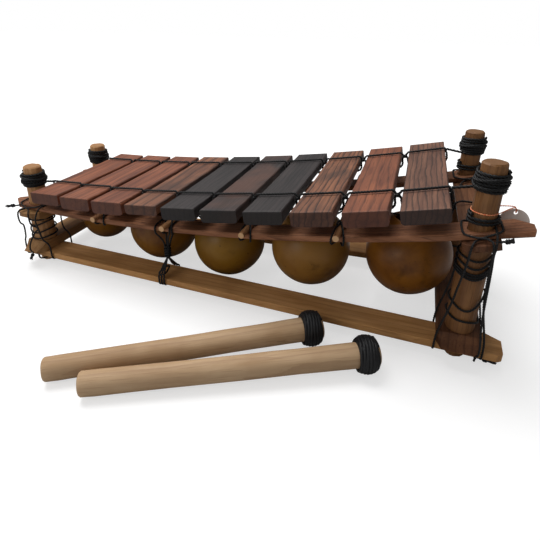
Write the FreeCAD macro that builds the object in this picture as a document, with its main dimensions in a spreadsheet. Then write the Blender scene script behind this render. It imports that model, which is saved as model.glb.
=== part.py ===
"""A ten-bar frame balafon with five calabash resonators and a pair of mallets.

Millimetres, +Z up, +X along the row of bars from the short treble end to the
tall bass end, +Y from the player's side to the back. The feet stand on z = 0
and the middle of the footprint, mallets included, is the origin.
"""

import FreeCAD, Part
import math
import os

import Sketcher

V = FreeCAD.Vector
UP = V(0, 0, 1)

# Driving sizes, as alias and value.
SIZES = [
    # Posts: how far their axes stand past the row of bars, half the way between
    # the front and back ones, and how tall they are.
    ("post_past_left", 18.0),
    ("post_past_right", 28.6),
    ("half_depth_left", 60.0),
    ("half_depth_right", 78.0),
    ("height_front_left", 124.0),
    ("height_back_left", 120.0),
    ("height_front_right", 190.0),
    ("height_back_right", 181.0),
    ("post_head", 21.0),
    ("post_block", 26.0),
    ("post_foot", 18.0),
    ("post_bevel", 1.2),
    # Lower rails and cross-pieces.
    ("foot_length", 10.0),
    ("low_rail_width", 32.0),
    ("low_rail_thick", 8.0),
    ("low_rail_past_left", 12.0),
    ("low_rail_past_right", 39.0),
    ("low_cross_thick", 12.0),
    ("low_cross_width_left", 28.0),
    ("low_cross_width_right", 38.0),
    ("cross_nose", 29.0),
    ("nose_scoop", 15.0),
    ("edge_round", 1.5),
    ("edge_bevel", 1.1),
    # Upper rails and cross-pieces. Both rails are bowed, lowest near the treble end.
    ("rail_bow_radius", 1884.0),
    ("rail_low_at", -199.0),
    ("rail_low_height", 71.0),
    ("top_rail_width", 28.0),
    ("top_rail_thick", 6.0),
    ("top_rail_past_left", 30.5),
    ("top_rail_past_right", 38.0),
    ("top_rail_bevel", 14.0),
    ("up_cross_thick", 11.0),
    ("up_cross_width", 30.0),
    ("hole_gap", 0.3),
    ("seat_gap", 0.1),
    # Sticks laid across the top rails, under every second gap between bars.
    ("stick_width", 6.5),
    ("stick_past_front", 12.0),
    ("stick_past_back", 9.0),
    # Gourds.
    ("gourd_wall", 3.5),
    ("tie_hole", 5.0),
    ("tie_below_rim", 7.0),
    # Bars.
    ("first_bar_at", -206.0),
    ("bar_width", 38.0),
    ("bar_width_step", 0.15),
    ("bar_gap", 6.0),
    ("bar_gap_step", 0.24),
    ("bar_bow_radius", 2262.0),
    ("bar_low_at", -283.0),
    ("bar_low_height", 100.9),
    ("bar_front_small", 86.5),
    ("bar_front_step", 2.7),
    ("bar_back_small", 87.9),
    ("bar_back_step", 2.65),
    ("bar_dish", 1.0),
    ("bar_arch", 2.5),
    ("bar_round_under", 3.5),
    ("bar_round_top", 1.2),
    # Cord.
    ("cord", 2.2),
    ("cord_gap", 0.15),
    ("knot_gap", 0.35),
    ("cord_front_small", 47.5),
    ("cord_front_step", 1.85),
    ("cord_back_small", 57.5),
    ("cord_back_step", 1.55),
    ("wound_cord", 2.9),
    ("winding_turns", 5),
    ("winding_pitch", 3.4),
    ("cap_above_winding", 5.5),
    ("wrap_turns", 2),
    ("strand_out", 2.0),
    # Mallets.
    ("handle_butt", 22.0),
    ("handle_end", 24.4),
    ("front_mallet_length", 256.0),
    ("rear_mallet_length", 250.0),
    ("head_length", 19.0),
    ("head_width", 36.0),
    ("head_cord", 2.7),
    ("head_turns", 5),
    # Hang tag.
    ("tag_width", 25.0),
    ("tag_thick", 1.0),
    ("tag_hole", 3.4),
    ("tag_behind", 2.6),
    ("tag_beside", 27.4),
    ("tag_height", 133.0),
    ("tag_string", 1.2),
]

BAR_THICKNESS = [13.5, 14.5, 14.5, 11.0, 13.5, 13.5, 13.5, 14.5, 14.5, 13.0]

# Each gourd: middle across, middle back, outer radius, height of its lowest
# point, and height of its rim.
GOURDS = [
    (-190.0, -3.0, 31.0, 14.0, 66.0),
    (-95.0, -15.0, 41.0, 8.5, 70.0),
    (-5.0, -17.0, 42.0, 4.0, 74.5),
    (94.0, -15.0, 44.0, 11.0, 90.0),
    (200.0, -7.0, 45.0, 17.0, 103.0),
]

# Mallet butts and the way they point, in degrees from +X.
FRONT_MALLET = (-46.0, -239.5, 26.0)
REAR_MALLET = (-86.0, -236.0, 31.0)

doc = FreeCAD.newDocument("Balafon")
sheet = doc.addObject("Spreadsheet::Sheet", "Sizes")
for row, (alias, value) in enumerate(SIZES, start=1):
    sheet.set("A%d" % row, alias)
    sheet.set("B%d" % row, str(value))
    sheet.setAlias("B%d" % row, alias)
doc.recompute()

pieces = []


def size(alias):
    """The value of one cell of the sheet."""
    return float(sheet.get(alias))


def bind(item, **expressions):
    """Tie properties of an object to the sheet; a name stands for its cell."""
    for prop, expression in expressions.items():
        item.setExpression(prop.replace("__", "."), expression.replace("$", "Sizes."))


def keep(item, label, placement=None):
    """Name a finished piece and put it in the list of pieces."""
    item.Label = label
    if placement is not None:
        item.Placement = placement
    pieces.append(item)
    return item


def new_body(label):
    return doc.addObject("PartDesign::Body", label)


def sketch(body, name, role, curves):
    """A sketch on one of the body's origin planes, its curves joined end to end."""
    plane = [f for f in body.Origin.OriginFeatures if f.Role == role][0]
    drawn = body.newObject("Sketcher::SketchObject", name)
    drawn.AttachmentSupport = [(plane, "")]
    drawn.MapMode = "FlatFace"
    drawn.addGeometry(curves, False)
    ends = []
    for number, curve in enumerate(curves):
        if not isinstance(curve, Part.Circle):
            ends += [(number, 1, drawn.getPoint(number, 1)), (number, 2, drawn.getPoint(number, 2))]
    for i, (curve_a, end_a, point_a) in enumerate(ends):
        for curve_b, end_b, point_b in ends[i + 1:]:
            if curve_a != curve_b and point_a.distanceToPoint(point_b) < 1e-6:
                drawn.addConstraint(Sketcher.Constraint("Coincident", curve_a, end_a, curve_b, end_b))
    return drawn


def tie_radius(drawn, curve, expression):
    """Hold a circle of a sketch to a radius from the sheet."""
    radius = drawn.Geometry[curve].Radius
    index = drawn.addConstraint(Sketcher.Constraint("Radius", curve, radius))
    drawn.setExpression("Constraints[%d]" % index, expression.replace("$", "Sizes."))


def polygon(points):
    """Straight sketch lines round a list of (across, up) points."""
    corners = [V(a, b, 0) for a, b in points]
    return [Part.LineSegment(p, q) for p, q in zip(corners, corners[1:] + corners[:1])]


def pad(body, drawn, expression, both_ways=False):
    """Pad a sketch by a length from the sheet."""
    made = body.newObject("PartDesign::Pad", body.Name + "_pad")
    made.Profile = drawn
    made.SideType = "Symmetric" if both_ways else "One side"
    bind(made, Length=expression)
    return made


def drill(body, drawn, name="_holes"):
    """Cut a sketch right through the body, both ways."""
    made = body.newObject("PartDesign::Pocket", body.Name + name)
    made.Profile = drawn
    made.Type = "ThroughAll"
    made.SideType = "Symmetric"
    return made


def round_edges(body, expression, wanted):
    """Round the edges of the body's last feature that a test picks out."""
    doc.recompute()
    tip = body.Tip
    names = ["Edge%d" % i for i, edge in enumerate(tip.Shape.Edges, start=1) if wanted(edge)]
    made = body.newObject("PartDesign::Fillet", body.Name + "_round")
    made.Base = (tip, names)
    bind(made, Radius=expression)
    return made


def bevel_edges(body, expression, wanted):
    """Bevel the edges of the body's last feature that a test picks out."""
    doc.recompute()
    tip = body.Tip
    names = ["Edge%d" % i for i, edge in enumerate(tip.Shape.Edges, start=1) if wanted(edge)]
    made = body.newObject("PartDesign::Chamfer", body.Name + "_bevel")
    made.Base = (tip, names)
    bind(made, Size=expression)
    return made


def middle(edge):
    return edge.valueAt((edge.FirstParameter + edge.LastParameter) / 2)


def way(edge):
    """The direction of an edge, from its ends."""
    run = edge.Vertexes[-1].Point - edge.Vertexes[0].Point
    return run.normalize() if run.Length > 1e-6 else run


def bow(at, low_at, low_height, radius):
    """Height of a bowed line at a place along the row."""
    return low_height + radius - math.sqrt(radius ** 2 - (at - low_at) ** 2)


def rail_under(at):
    """Height of the top rails' underside."""
    return bow(at, size("rail_low_at"), size("rail_low_height"), size("rail_bow_radius"))


def rail_top(at):
    return rail_under(at) + size("top_rail_thick")


def rail_slope(at):
    """Degrees that the top rails rise to the right."""
    return math.degrees(math.asin((at - size("rail_low_at")) / size("rail_bow_radius")))


def bar_line(at):
    """Height of the bars' playing surface."""
    return bow(at, size("bar_low_at"), size("bar_low_height"), size("bar_bow_radius"))


def bar_slope(at):
    return math.degrees(math.asin((at - size("bar_low_at")) / size("bar_bow_radius")))


def tilt(degrees):
    """A turn about the Y axis that lifts the right-hand side."""
    return FreeCAD.Rotation(V(0, 1, 0), -degrees)


def bar_at(number):
    """How far along the row the middle of a bar lies; the first bar is number 0."""
    widening = size("bar_width_step") * number ** 2 / 2 + size("bar_gap_step") * number * (number - 1) / 2
    return size("first_bar_at") + number * (size("bar_width") + size("bar_gap")) + widening


def bar_width(number):
    return size("bar_width") + number * size("bar_width_step")


LAST_BAR = len(BAR_THICKNESS) - 1
POST_AT = {"left": bar_at(0) - bar_width(0) / 2 - size("post_past_left"),
           "right": bar_at(LAST_BAR) + bar_width(LAST_BAR) / 2 + size("post_past_right")}
HALF_DEPTH = {"left": size("half_depth_left"), "right": size("half_depth_right")}
SIDE = {"front": -1, "back": 1}
CORNERS = [(row, end) for row in ("front", "back") for end in ("left", "right")]


def post_line(row, at):
    """Where the line through a row's two posts lies, front to back."""
    share = (at - POST_AT["left"]) / (POST_AT["right"] - POST_AT["left"])
    depth = HALF_DEPTH["left"] + share * (HALF_DEPTH["right"] - HALF_DEPTH["left"])
    return SIDE[row] * depth


def rail_placement(row):
    """A rail's own frame: its length along the line through the row's posts."""
    run = POST_AT["right"] - POST_AT["left"]
    rise = post_line(row, POST_AT["right"]) - post_line(row, POST_AT["left"])
    turn = FreeCAD.Rotation(UP, math.degrees(math.atan2(rise, run)))
    return FreeCAD.Placement(V(0, post_line(row, 0), 0), turn)


def along_rail(at):
    """A place along the row, measured along a rail."""
    run = POST_AT["right"] - POST_AT["left"]
    rise = HALF_DEPTH["right"] - HALF_DEPTH["left"]
    return at * math.hypot(run, rise) / run


def post_holes(body, expression):
    """Two holes for the posts through a rail."""
    radius = size("post_head") / 2
    centres = [V(along_rail(POST_AT[end]), 0, 0) for end in ("left", "right")]
    drawn = sketch(body, body.Name + "_hole_sketch", "XY_Plane", [Part.Circle(c, UP, radius) for c in centres])
    for curve in range(2):
        tie_radius(drawn, curve, expression)
    return drill(body, drawn)


# Posts

LOW_SEAT = size("foot_length") + size("low_rail_thick") + size("low_cross_thick")


def shoulder_height(end):
    """Height of a post's sloping shoulder at its axis."""
    slope = math.radians(rail_slope(POST_AT[end]))
    thick = (size("up_cross_thick") + 2 * size("seat_gap")) / math.cos(slope)
    return rail_under(POST_AT[end]) - thick


def make_post(row, end):
    """A whittled stake: round foot, eight-sided block with a sloping shoulder, round head."""
    label = "post_%s_%s" % (row, end)
    height = "$height_%s_%s" % (row, end)
    foot = doc.addObject("Part::Cylinder", label + "_foot")
    bind(foot, Radius="$post_foot / 2", Height="$foot_length + $low_rail_thick + $low_cross_thick + 1")
    head = doc.addObject("Part::Cylinder", label + "_head")
    head.Placement.Base = V(0, 0, LOW_SEAT)
    bind(head, Radius="$post_head / 2", Height=height + " - $foot_length - $low_rail_thick - $low_cross_thick")
    block = doc.addObject("Part::Prism", label + "_stock")
    block.Polygon = 8
    block.Placement = FreeCAD.Placement(V(0, 0, LOW_SEAT), FreeCAD.Rotation(UP, 22.5))
    bind(block, Circumradius="$post_block / 2 / cos(22.5)")
    block.Height = shoulder_height(end) - LOW_SEAT + size("post_block")
    off = doc.addObject("Part::Box", label + "_waste")
    bind(off, Length="$post_block * 3", Width="$post_block * 3", Height="$post_block * 3")
    turn = tilt(rail_slope(POST_AT[end]))
    reach = 1.5 * size("post_block")
    off.Placement = FreeCAD.Placement(V(0, 0, shoulder_height(end)) + turn.multVec(V(-reach, -reach, 0)), turn)
    cut = doc.addObject("Part::Cut", label + "_block")
    cut.Base = block
    cut.Tool = off
    whole = doc.addObject("Part::MultiFuse", label + "_whole")
    whole.Shapes = [foot, cut, head]
    doc.recompute()
    ends = []
    for number, edge in enumerate(whole.Shape.Edges, start=1):
        level = edge.BoundBox.ZMax
        flat = edge.BoundBox.ZLength < 1e-6
        if flat and (level < 1e-6 or level > size("height_%s_%s" % (row, end)) - 1e-6):
            ends.append((number, size("post_bevel"), size("post_bevel")))
    post = doc.addObject("Part::Chamfer", label)
    post.Base = whole
    post.Edges = ends
    keep(post, label, FreeCAD.Placement(V(POST_AT[end], post_line(row, POST_AT[end]), 0), FreeCAD.Rotation()))


for row, end in CORNERS:
    make_post(row, end)

# Rails


def make_low_rail(row):
    """A straight plank, its right end tapered, lying under the lower cross-pieces."""
    body = new_body("bottom_rail_" + row)
    half = size("low_rail_width") / 2
    left = along_rail(POST_AT["left"]) - size("low_rail_past_left")
    right = along_rail(POST_AT["right"]) + size("low_rail_past_right")
    inward = -SIDE[row]
    outline = [(left, -half), (left, half), (right - 16, half), (right, half - 9), (right, 4 - half), (right - 5, -half)]
    if inward < 0:
        outline = [(a, -b) for a, b in reversed(outline)]
    drawn = sketch(body, body.Name + "_plan", "XY_Plane", polygon(outline))
    pad(body, drawn, "$low_rail_thick")
    post_holes(body, "$post_foot / 2 + $hole_gap")
    round_edges(body, "$edge_round", lambda e: abs(way(e).x) > 0.99 and e.Length > 300)
    place = rail_placement(row)
    place.Base.z = size("foot_length")
    keep(body, body.Name, place)


def make_top_rail(row):
    """A thin bowed plank with its ends cut on the slant."""
    body = new_body("top_rail_" + row)
    low_at, low = size("rail_low_at"), size("rail_low_height")
    radius, thick = size("rail_bow_radius"), size("top_rail_thick")
    left = along_rail(POST_AT["left"]) - size("top_rail_past_left")
    right = along_rail(POST_AT["right"]) + size("top_rail_past_right")
    centre = (left + right) / 2
    under = [V(a, bow(a, low_at, low, radius), 0) for a in (left, centre, right)]
    over = [V(a, bow(a, low_at, low + thick, radius - thick), 0) for a in (left, centre, right)]
    curves = [Part.Arc(*under), Part.LineSegment(under[2], over[2]), Part.Arc(*reversed(over)),
              Part.LineSegment(over[0], under[0])]
    drawn = sketch(body, body.Name + "_profile", "XZ_Plane", curves)
    pad(body, drawn, "$top_rail_width", both_ways=True)
    bevel_edges(body, "$edge_bevel", lambda e: e.Length > 300)
    post_holes(body, "$post_head / 2 + $hole_gap")
    half, bevel = size("top_rail_width") / 2, size("top_rail_bevel")
    inward = -SIDE[row]
    slants = polygon([(right + 1, inward * (half + 1)), (right - bevel, inward * (half + 1)), (right + 1, -inward * 2)])
    slants += polygon([(left - 1, inward * (half + 1)), (left + bevel, inward * (half + 1)), (left - 1, 0)])
    slants += polygon([(left - 1, -inward * (half + 1)), (left + bevel, -inward * (half + 1)), (left - 1, -inward * 3)])
    drill(body, sketch(body, body.Name + "_slants", "XY_Plane", slants), "_ends")
    keep(body, body.Name, rail_placement(row))


for row in ("front", "back"):
    make_low_rail(row)
    make_top_rail(row)

# Cross-pieces


def cross_holes(body, end, expression, slope=0.0):
    """Upright holes for the front and back posts through a cross-piece that may slope."""
    centres = [V(0, post_line(row, POST_AT[end]), 0) for row in ("front", "back")]
    radius = size("post_head") / 2
    drawn = sketch(body, body.Name + "_hole_sketch", "XY_Plane", [Part.Circle(c, UP, radius) for c in centres])
    for curve in range(2):
        tie_radius(drawn, curve, "(%s) / %.6f" % (expression, math.cos(math.radians(slope))))
    holes = drill(body, drawn)
    holes.UseCustomVector = True
    holes.Direction = tilt(slope).multVec(UP)
    return holes


def make_low_cross(end):
    """A plank from front to back whose ends are whittled into low prows."""
    body = new_body("bottom_crosspiece_" + end)
    tip = HALF_DEPTH[end] + size("cross_nose")
    deck = tip - size("nose_scoop")
    thick = size("low_cross_thick")
    lip = 3.0
    dip = 0.35 * thick
    scoop = [V(-tip, lip, 0), V(-(tip + deck) / 2, dip + lip / 2, 0), V(-deck, thick, 0)]
    mirror = [V(-p.x, p.y, 0) for p in reversed(scoop)]
    curves = [Part.Arc(*scoop), Part.LineSegment(scoop[2], mirror[0]), Part.Arc(*mirror)]
    curves += [Part.LineSegment(mirror[2], V(tip - 4, 0, 0)), Part.LineSegment(V(tip - 4, 0, 0), V(4 - tip, 0, 0)),
               Part.LineSegment(V(4 - tip, 0, 0), scoop[0])]
    pad(body, sketch(body, body.Name + "_profile", "YZ_Plane", curves), "$low_cross_width_" + end, both_ways=True)
    cross_holes(body, end, "$post_foot / 2 + $hole_gap")
    half = size("low_cross_width_" + end) / 2
    waste = []
    for across in (-1, 1):
        for along in (-1, 1):
            corner = [(across * (half + 1), along * (tip + 1)), (across * (half - 6), along * (tip + 1)),
                      (across * (half + 1), along * (deck - 4))]
            waste += polygon(corner)
    drill(body, sketch(body, body.Name + "_nose_sketch", "XY_Plane", waste), "_noses")
    lift = size("foot_length") + size("low_rail_thick")
    keep(body, body.Name, FreeCAD.Placement(V(POST_AT[end], 0, lift), FreeCAD.Rotation()))


def make_up_cross(end):
    """A plank from front to back under the top rails, its ends bevelled below and rounded."""
    body = new_body("upper_crosspiece_" + end)
    tip = HALF_DEPTH[end] + size("cross_nose") - 4
    thick = size("up_cross_thick")
    under = tip - size("nose_scoop")
    bluff = 0.45 * thick
    outline = [(-tip, 0), (tip, 0), (tip, -bluff), (under, -thick), (-under, -thick), (-tip, -bluff)]
    pad(body, sketch(body, body.Name + "_profile", "YZ_Plane", polygon(outline)), "$up_cross_width", both_ways=True)
    cross_holes(body, end, "$post_head / 2 + $hole_gap", rail_slope(POST_AT[end]))
    half = size("up_cross_width") / 2
    waste = []
    for along in (-1, 1):
        rim = V(0, along * tip, 0)
        left, right = V(-half - 1, along * (tip - 9), 0), V(half + 1, along * (tip - 9), 0)
        far_left, far_right = V(-half - 1, along * (tip + 2), 0), V(half + 1, along * (tip + 2), 0)
        waste += [Part.Arc(left, rim, right), Part.LineSegment(right, far_right),
                  Part.LineSegment(far_right, far_left), Part.LineSegment(far_left, left)]
    drill(body, sketch(body, body.Name + "_end_sketch", "XY_Plane", waste), "_ends")
    turn = tilt(rail_slope(POST_AT[end]))
    drop = size("seat_gap") / math.cos(math.radians(rail_slope(POST_AT[end])))
    keep(body, body.Name, FreeCAD.Placement(V(POST_AT[end], 0, rail_under(POST_AT[end]) - drop), turn))


for end in ("left", "right"):
    make_low_cross(end)
    make_up_cross(end)

# Bars

bars = []
for number, thick in enumerate(BAR_THICKNESS):
    width, at = bar_width(number), bar_at(number)
    front = -size("bar_front_small") - number * size("bar_front_step")
    back = size("bar_back_small") + number * size("bar_back_step")
    where = FreeCAD.Placement(V(at, 0, bar_line(at)), tilt(bar_slope(at)))
    bars.append({"width": width, "thick": thick, "front": front, "back": back, "at": at, "where": where})


def make_bar(number, bar):
    """A rosewood bar: playing side a little hollowed, underside arched for tuning."""
    body = new_body("key_%02d" % (number + 1))
    front, back, thick = bar["front"], bar["back"], bar["thick"]
    mid = (front + back) / 2
    top = [V(front, 0, 0), V(mid, -size("bar_dish"), 0), V(back, 0, 0)]
    under = [V(back, -thick, 0), V(mid, size("bar_arch") - thick, 0), V(front, -thick, 0)]
    curves = [Part.Arc(*top), Part.LineSegment(top[2], under[0]), Part.Arc(*under), Part.LineSegment(under[2], top[0])]
    drawn = sketch(body, body.Name + "_profile", "YZ_Plane", curves)
    pad(body, drawn, "$bar_width + %d * $bar_width_step" % number, both_ways=True)
    round_edges(body, "$bar_round_under", lambda e: e.Length > 100 and middle(e).z < -thick / 2)
    round_edges(body, "$bar_round_top", lambda e: middle(e).z > -1.5 * size("bar_dish"))
    keep(body, body.Name, bar["where"])


for number, bar in enumerate(bars):
    make_bar(number, bar)

# Sticks: one under every second gap between the bars.

stick_places = []
for number in (1, 3, 5, 7):
    left_bar, right_bar = bars[number], bars[number + 1]
    right_side = left_bar["at"] + left_bar["width"] / 2
    left_side = right_bar["at"] - right_bar["width"] / 2
    stick_places.append((right_side + left_side) / 2)


def stick_level(at):
    """Height of a stick's axis, lying on the top rails, which slope and spread to the right."""
    slope = math.radians(rail_slope(at))
    spread = (HALF_DEPTH["right"] - HALF_DEPTH["left"]) / (POST_AT["right"] - POST_AT["left"])
    rise = size("top_rail_width") / 2 * spread * math.tan(slope)
    lift = size("seat_gap") + size("stick_width") / 2
    return rail_top(at) + rise + lift / math.cos(slope)


def make_stick(number, at):
    """A straight peeled stick from the front top rail to the back one."""
    body = new_body("gourd_stick_%d" % number)
    front = -abs(post_line("front", at)) - size("top_rail_width") / 2 - size("stick_past_front")
    back = abs(post_line("back", at)) + size("top_rail_width") / 2 + size("stick_past_back")
    drawn = sketch(body, body.Name + "_section", "XZ_Plane", [Part.Circle(V(0, 0, 0), UP, size("stick_width") / 2)])
    tie_radius(drawn, 0, "$stick_width / 2")
    made = body.newObject("PartDesign::Pad", body.Name + "_pad")
    made.Profile = drawn
    made.Reversed = True
    made.Length = back - front
    round_edges(body, "$edge_round / 2", lambda e: e.Length < 60 and abs(way(e).y) < 0.5)
    keep(body, body.Name, FreeCAD.Placement(V(at, front, stick_level(at)), FreeCAD.Rotation()))


for number, at in enumerate(stick_places, start=1):
    make_stick(number, at)

# Gourds


def make_gourd(number, across, depth, radius, low, rim):
    """A calabash bowl, open at the top, with two tie holes under its rim."""
    body = new_body("gourd_%d" % number)
    inside = radius - size("gourd_wall")
    up = rim - low - radius

    def on(reach, height):
        return V(math.sqrt(reach ** 2 - height ** 2), height, 0)

    outer = [V(0, -radius, 0), on(radius, -0.3 * radius), on(radius, up)]
    inner = [on(inside, up), on(inside, -0.3 * inside), V(0, -inside, 0)]
    curves = [Part.Arc(*outer), Part.LineSegment(outer[2], inner[0]), Part.Arc(*inner),
              Part.LineSegment(inner[2], outer[0])]
    drawn = sketch(body, body.Name + "_half_section", "XZ_Plane", curves)
    made = body.newObject("PartDesign::Revolution", body.Name + "_turned")
    made.Profile = drawn
    made.ReferenceAxis = (drawn, ["V_Axis"])
    made.Angle = 360
    hole = V(0, up - size("tie_below_rim"), 0)
    holes = sketch(body, body.Name + "_hole_sketch", "YZ_Plane", [Part.Circle(hole, UP, size("tie_hole") / 2)])
    tie_radius(holes, 0, "$tie_hole / 2")
    drill(body, holes)
    keep(body, body.Name, FreeCAD.Placement(V(across, depth, low + radius), FreeCAD.Rotation()))


for number, gourd in enumerate(GOURDS, start=1):
    make_gourd(number, *gourd)

# Cord: closed loops of square section


def hull(points):
    """The convex outline round a set of (across, up) points."""
    points = sorted(set(points))

    def half(run):
        chain = []
        for p in run:
            while len(chain) > 1:
                (ax, ay), (bx, by) = chain[-2], chain[-1]
                if (bx - ax) * (p[1] - ay) - (by - ay) * (p[0] - ax) > 0:
                    break
                chain.pop()
            chain.append(p)
        return chain

    return half(points)[:-1] + half(reversed(points))[:-1]


def corded(outline, to_world, thick=None):
    """A closed loop of cord pulled tight round an outline, as wide as it is thick.

    The outline is drawn in the plane across and up; to_world places it, its
    third axis along the width of the cord.
    """
    thick = thick or size("cord")
    corners = [V(a, b, -thick / 2) for a, b in outline]
    ring = Part.makePolygon(corners + corners[:1])
    inner = ring.makeOffset2D(size("cord_gap"))
    outer = ring.makeOffset2D(size("cord_gap") + thick)
    solid = Part.Face(outer).cut(Part.Face(inner)).extrude(V(0, 0, thick)).Solids[0]
    solid.Placement = to_world
    return solid


def facing(base, right, up):
    """A placement whose first axis points right and whose second points up."""
    return FreeCAD.Placement(base, FreeCAD.Rotation(right, up, right.cross(up), "XYZ"))


def feature(label, solids, placement=None):
    """Keep one solid, or a group of separate ones, as a piece."""
    made = doc.addObject("Part::Feature", label)
    made.Shape = solids[0] if len(solids) == 1 else Part.Compound(solids)
    if placement is not None:
        made.Placement = placement
    pieces.append(made)
    return made


def block(left, right, low, high):
    """The four corners of an upright rectangle."""
    return [(left, low), (right, low), (right, high), (left, high)]


def cord_line(row, number):
    """Where a row's cord crosses a bar, front to back."""
    if row == "front":
        return -size("cord_front_small") - number * size("cord_front_step")
    return size("cord_back_small") + number * size("cord_back_step")


def gap_beside(left, right):
    """The gap between two neighbouring bars, measured along the row's slope."""
    slope = math.radians((bar_slope(left["at"]) + bar_slope(right["at"])) / 2)
    return (right["at"] - left["at"]) / math.cos(slope) - (left["width"] + right["width"]) / 2


for number, bar in enumerate(bars):
    half, low = bar["width"] / 2, -bar["thick"]
    corner = (2 - math.sqrt(2)) * size("bar_round_under")
    outline = [(-half, 0), (half, 0), (-half, low + corner), (half, low + corner), (corner - half, low),
               (half - corner, low)]
    past = size("cord_gap") + size("cord") + size("knot_gap") / 2
    if number > 0:
        outline.append((past - half - gap_beside(bars[number - 1], bar) / 2, -bar["thick"] / 2))
    if number < len(bars) - 1:
        outline.append((half + gap_beside(bar, bars[number + 1]) / 2 - past, -bar["thick"] / 2))
    loops = []
    for row in ("front", "back"):
        loops.append(corded(hull(outline), facing(V(0, cord_line(row, number), 0), V(1, 0, 0), UP)))
    feature("key_%02d_cords" % (number + 1), loops, bar["where"])

# Cord: windings


def biarc(start, start_way, end, end_way):
    """Two arcs that join two points and leave and reach them the given ways."""
    run = end - start
    ways = start_way + end_way
    a = 2 * (start_way.dot(end_way) - 1)
    b = -2 * run.dot(ways)
    c = run.dot(run)
    reach = c / (-b) if abs(a) < 1e-9 else (-b - math.sqrt(b * b - 4 * a * c)) / (2 * a)
    if reach <= 0:
        reach = (-b + math.sqrt(b * b - 4 * a * c)) / (2 * a)
    knee_a = start + start_way * reach
    knee_b = end - end_way * reach
    joint = (knee_a + knee_b) / 2
    arcs = []
    for first, knee, last in ((start, knee_a, joint), (joint, knee_b, end)):
        half_chord = (last - first).Length / 2
        to_middle = (first + last) / 2 - knee
        if to_middle.Length < 1e-7:
            arcs.append(Part.LineSegment(first, last).toShape())
            continue
        leg = (knee - first).Length
        turn = math.acos(min(1.0, half_chord / leg))
        sag = half_chord * math.tan(turn / 2)
        crown = (first + last) / 2 - to_middle.normalize() * sag
        arcs.append(Part.Arc(first, crown, last).toShape())
    return arcs


def turn_point(centre, reach, angle, height):
    return centre + V(reach * math.cos(angle), reach * math.sin(angle), height)


def winding_edges(centre, reach_at, start_angle, sense, turns, pitch, low, steps=4):
    """Arcs up a winding whose reach may change with its height, and its end ways."""
    def place(turned):
        return turn_point(centre, reach_at(turned / turns), start_angle + sense * 2 * math.pi * turned,
                          low + pitch * turned)

    def heading(turned):
        small = 1e-4
        step = place(turned + small) - place(turned - small)
        return step.normalize()

    stops = [i / steps for i in range(int(round(turns * steps)) + 1)]
    edges = []
    for a, b in zip(stops, stops[1:]):
        edges += biarc(place(a), heading(a), place(b), heading(b))
    return edges, (place(0), heading(0)), (place(turns), heading(turns))


def tube(edges, start, start_way, width):
    """One unbroken cord of six-sided section along a chain of arcs."""
    path = Part.Wire(edges)
    across = start_way.cross(UP)
    across.normalize()
    upward = across.cross(start_way)
    corners = []
    for corner in range(6):
        angle = math.radians(60 * corner + 30)
        corners.append(start + (across * math.cos(angle) + upward * math.sin(angle)) * (width / 2))
    shell = Part.BRepOffsetAPI.MakePipeShell(path)
    shell.add(Part.makePolygon(corners + corners[:1]))
    shell.build()
    shell.makeSolid()
    return Part.Solid(shell.shape()) if shell.shape().ShapeType != "Solid" else shell.shape()


def self_gap(edges, width, label):
    """Print the least gap between a cord's turns, measured on points."""
    points = [p for e in edges for p in e.discretize(13)[:-1]]
    lengths = [0.0]
    for p, q in zip(points, points[1:]):
        lengths.append(lengths[-1] + p.distanceToPoint(q))
    least = 1e9
    for i, p in enumerate(points):
        for j in range(i + 1, len(points)):
            if lengths[j] - lengths[i] > 4 * width:
                least = min(least, p.distanceToPoint(points[j]))
    print("%s: least gap between its turns %.2f mm" % (label, least - width))
    return least - width


def straight(start, heading, length):
    return Part.LineSegment(start, start + heading * length).toShape()


def make_head_winding(row, end):
    """The cord wound round a post's head, its tail running to the outermost bar."""
    label = "head_winding_%s_%s" % (row, end)
    wound, turns, pitch = size("wound_cord"), size("winding_turns"), size("winding_pitch")
    reach = size("post_head") / 2 + size("cord_gap") + wound / 2
    axis = V(POST_AT[end], post_line(row, POST_AT[end]), 0)
    height = size("height_%s_%s" % (row, end)) - size("cap_above_winding") - wound / 2 - turns * pitch
    number, outward = (0, -1) if end == "left" else (len(bars) - 1, 1)
    bar = bars[number]
    past = bar["width"] / 2 + size("cord_gap") + size("cord") + size("knot_gap") + wound / 2
    rim = bar["where"].multVec(V(outward * past, cord_line(row, number), size("cord_gap") + wound / 2))
    to_rim = V(rim.x, rim.y, 0) - axis
    swing = math.acos(reach / to_rim.Length)
    touch = math.atan2(to_rim.y, to_rim.x) + SIDE[row] * outward * swing
    sense = SIDE[row] * outward
    edges, foot, top = winding_edges(axis, lambda share: reach, touch, sense, turns, pitch, height)
    tail_way = (foot[0] - rim).normalize()
    path = biarc(rim, tail_way, foot[0], foot[1]) + edges + [straight(top[0], top[1], wound)]
    self_gap(edges, wound, label)
    feature(label, [tube(path, rim, tail_way, wound)])


for row, end in CORNERS:
    make_head_winding(row, end)

# Cord: corner lashings


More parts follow.
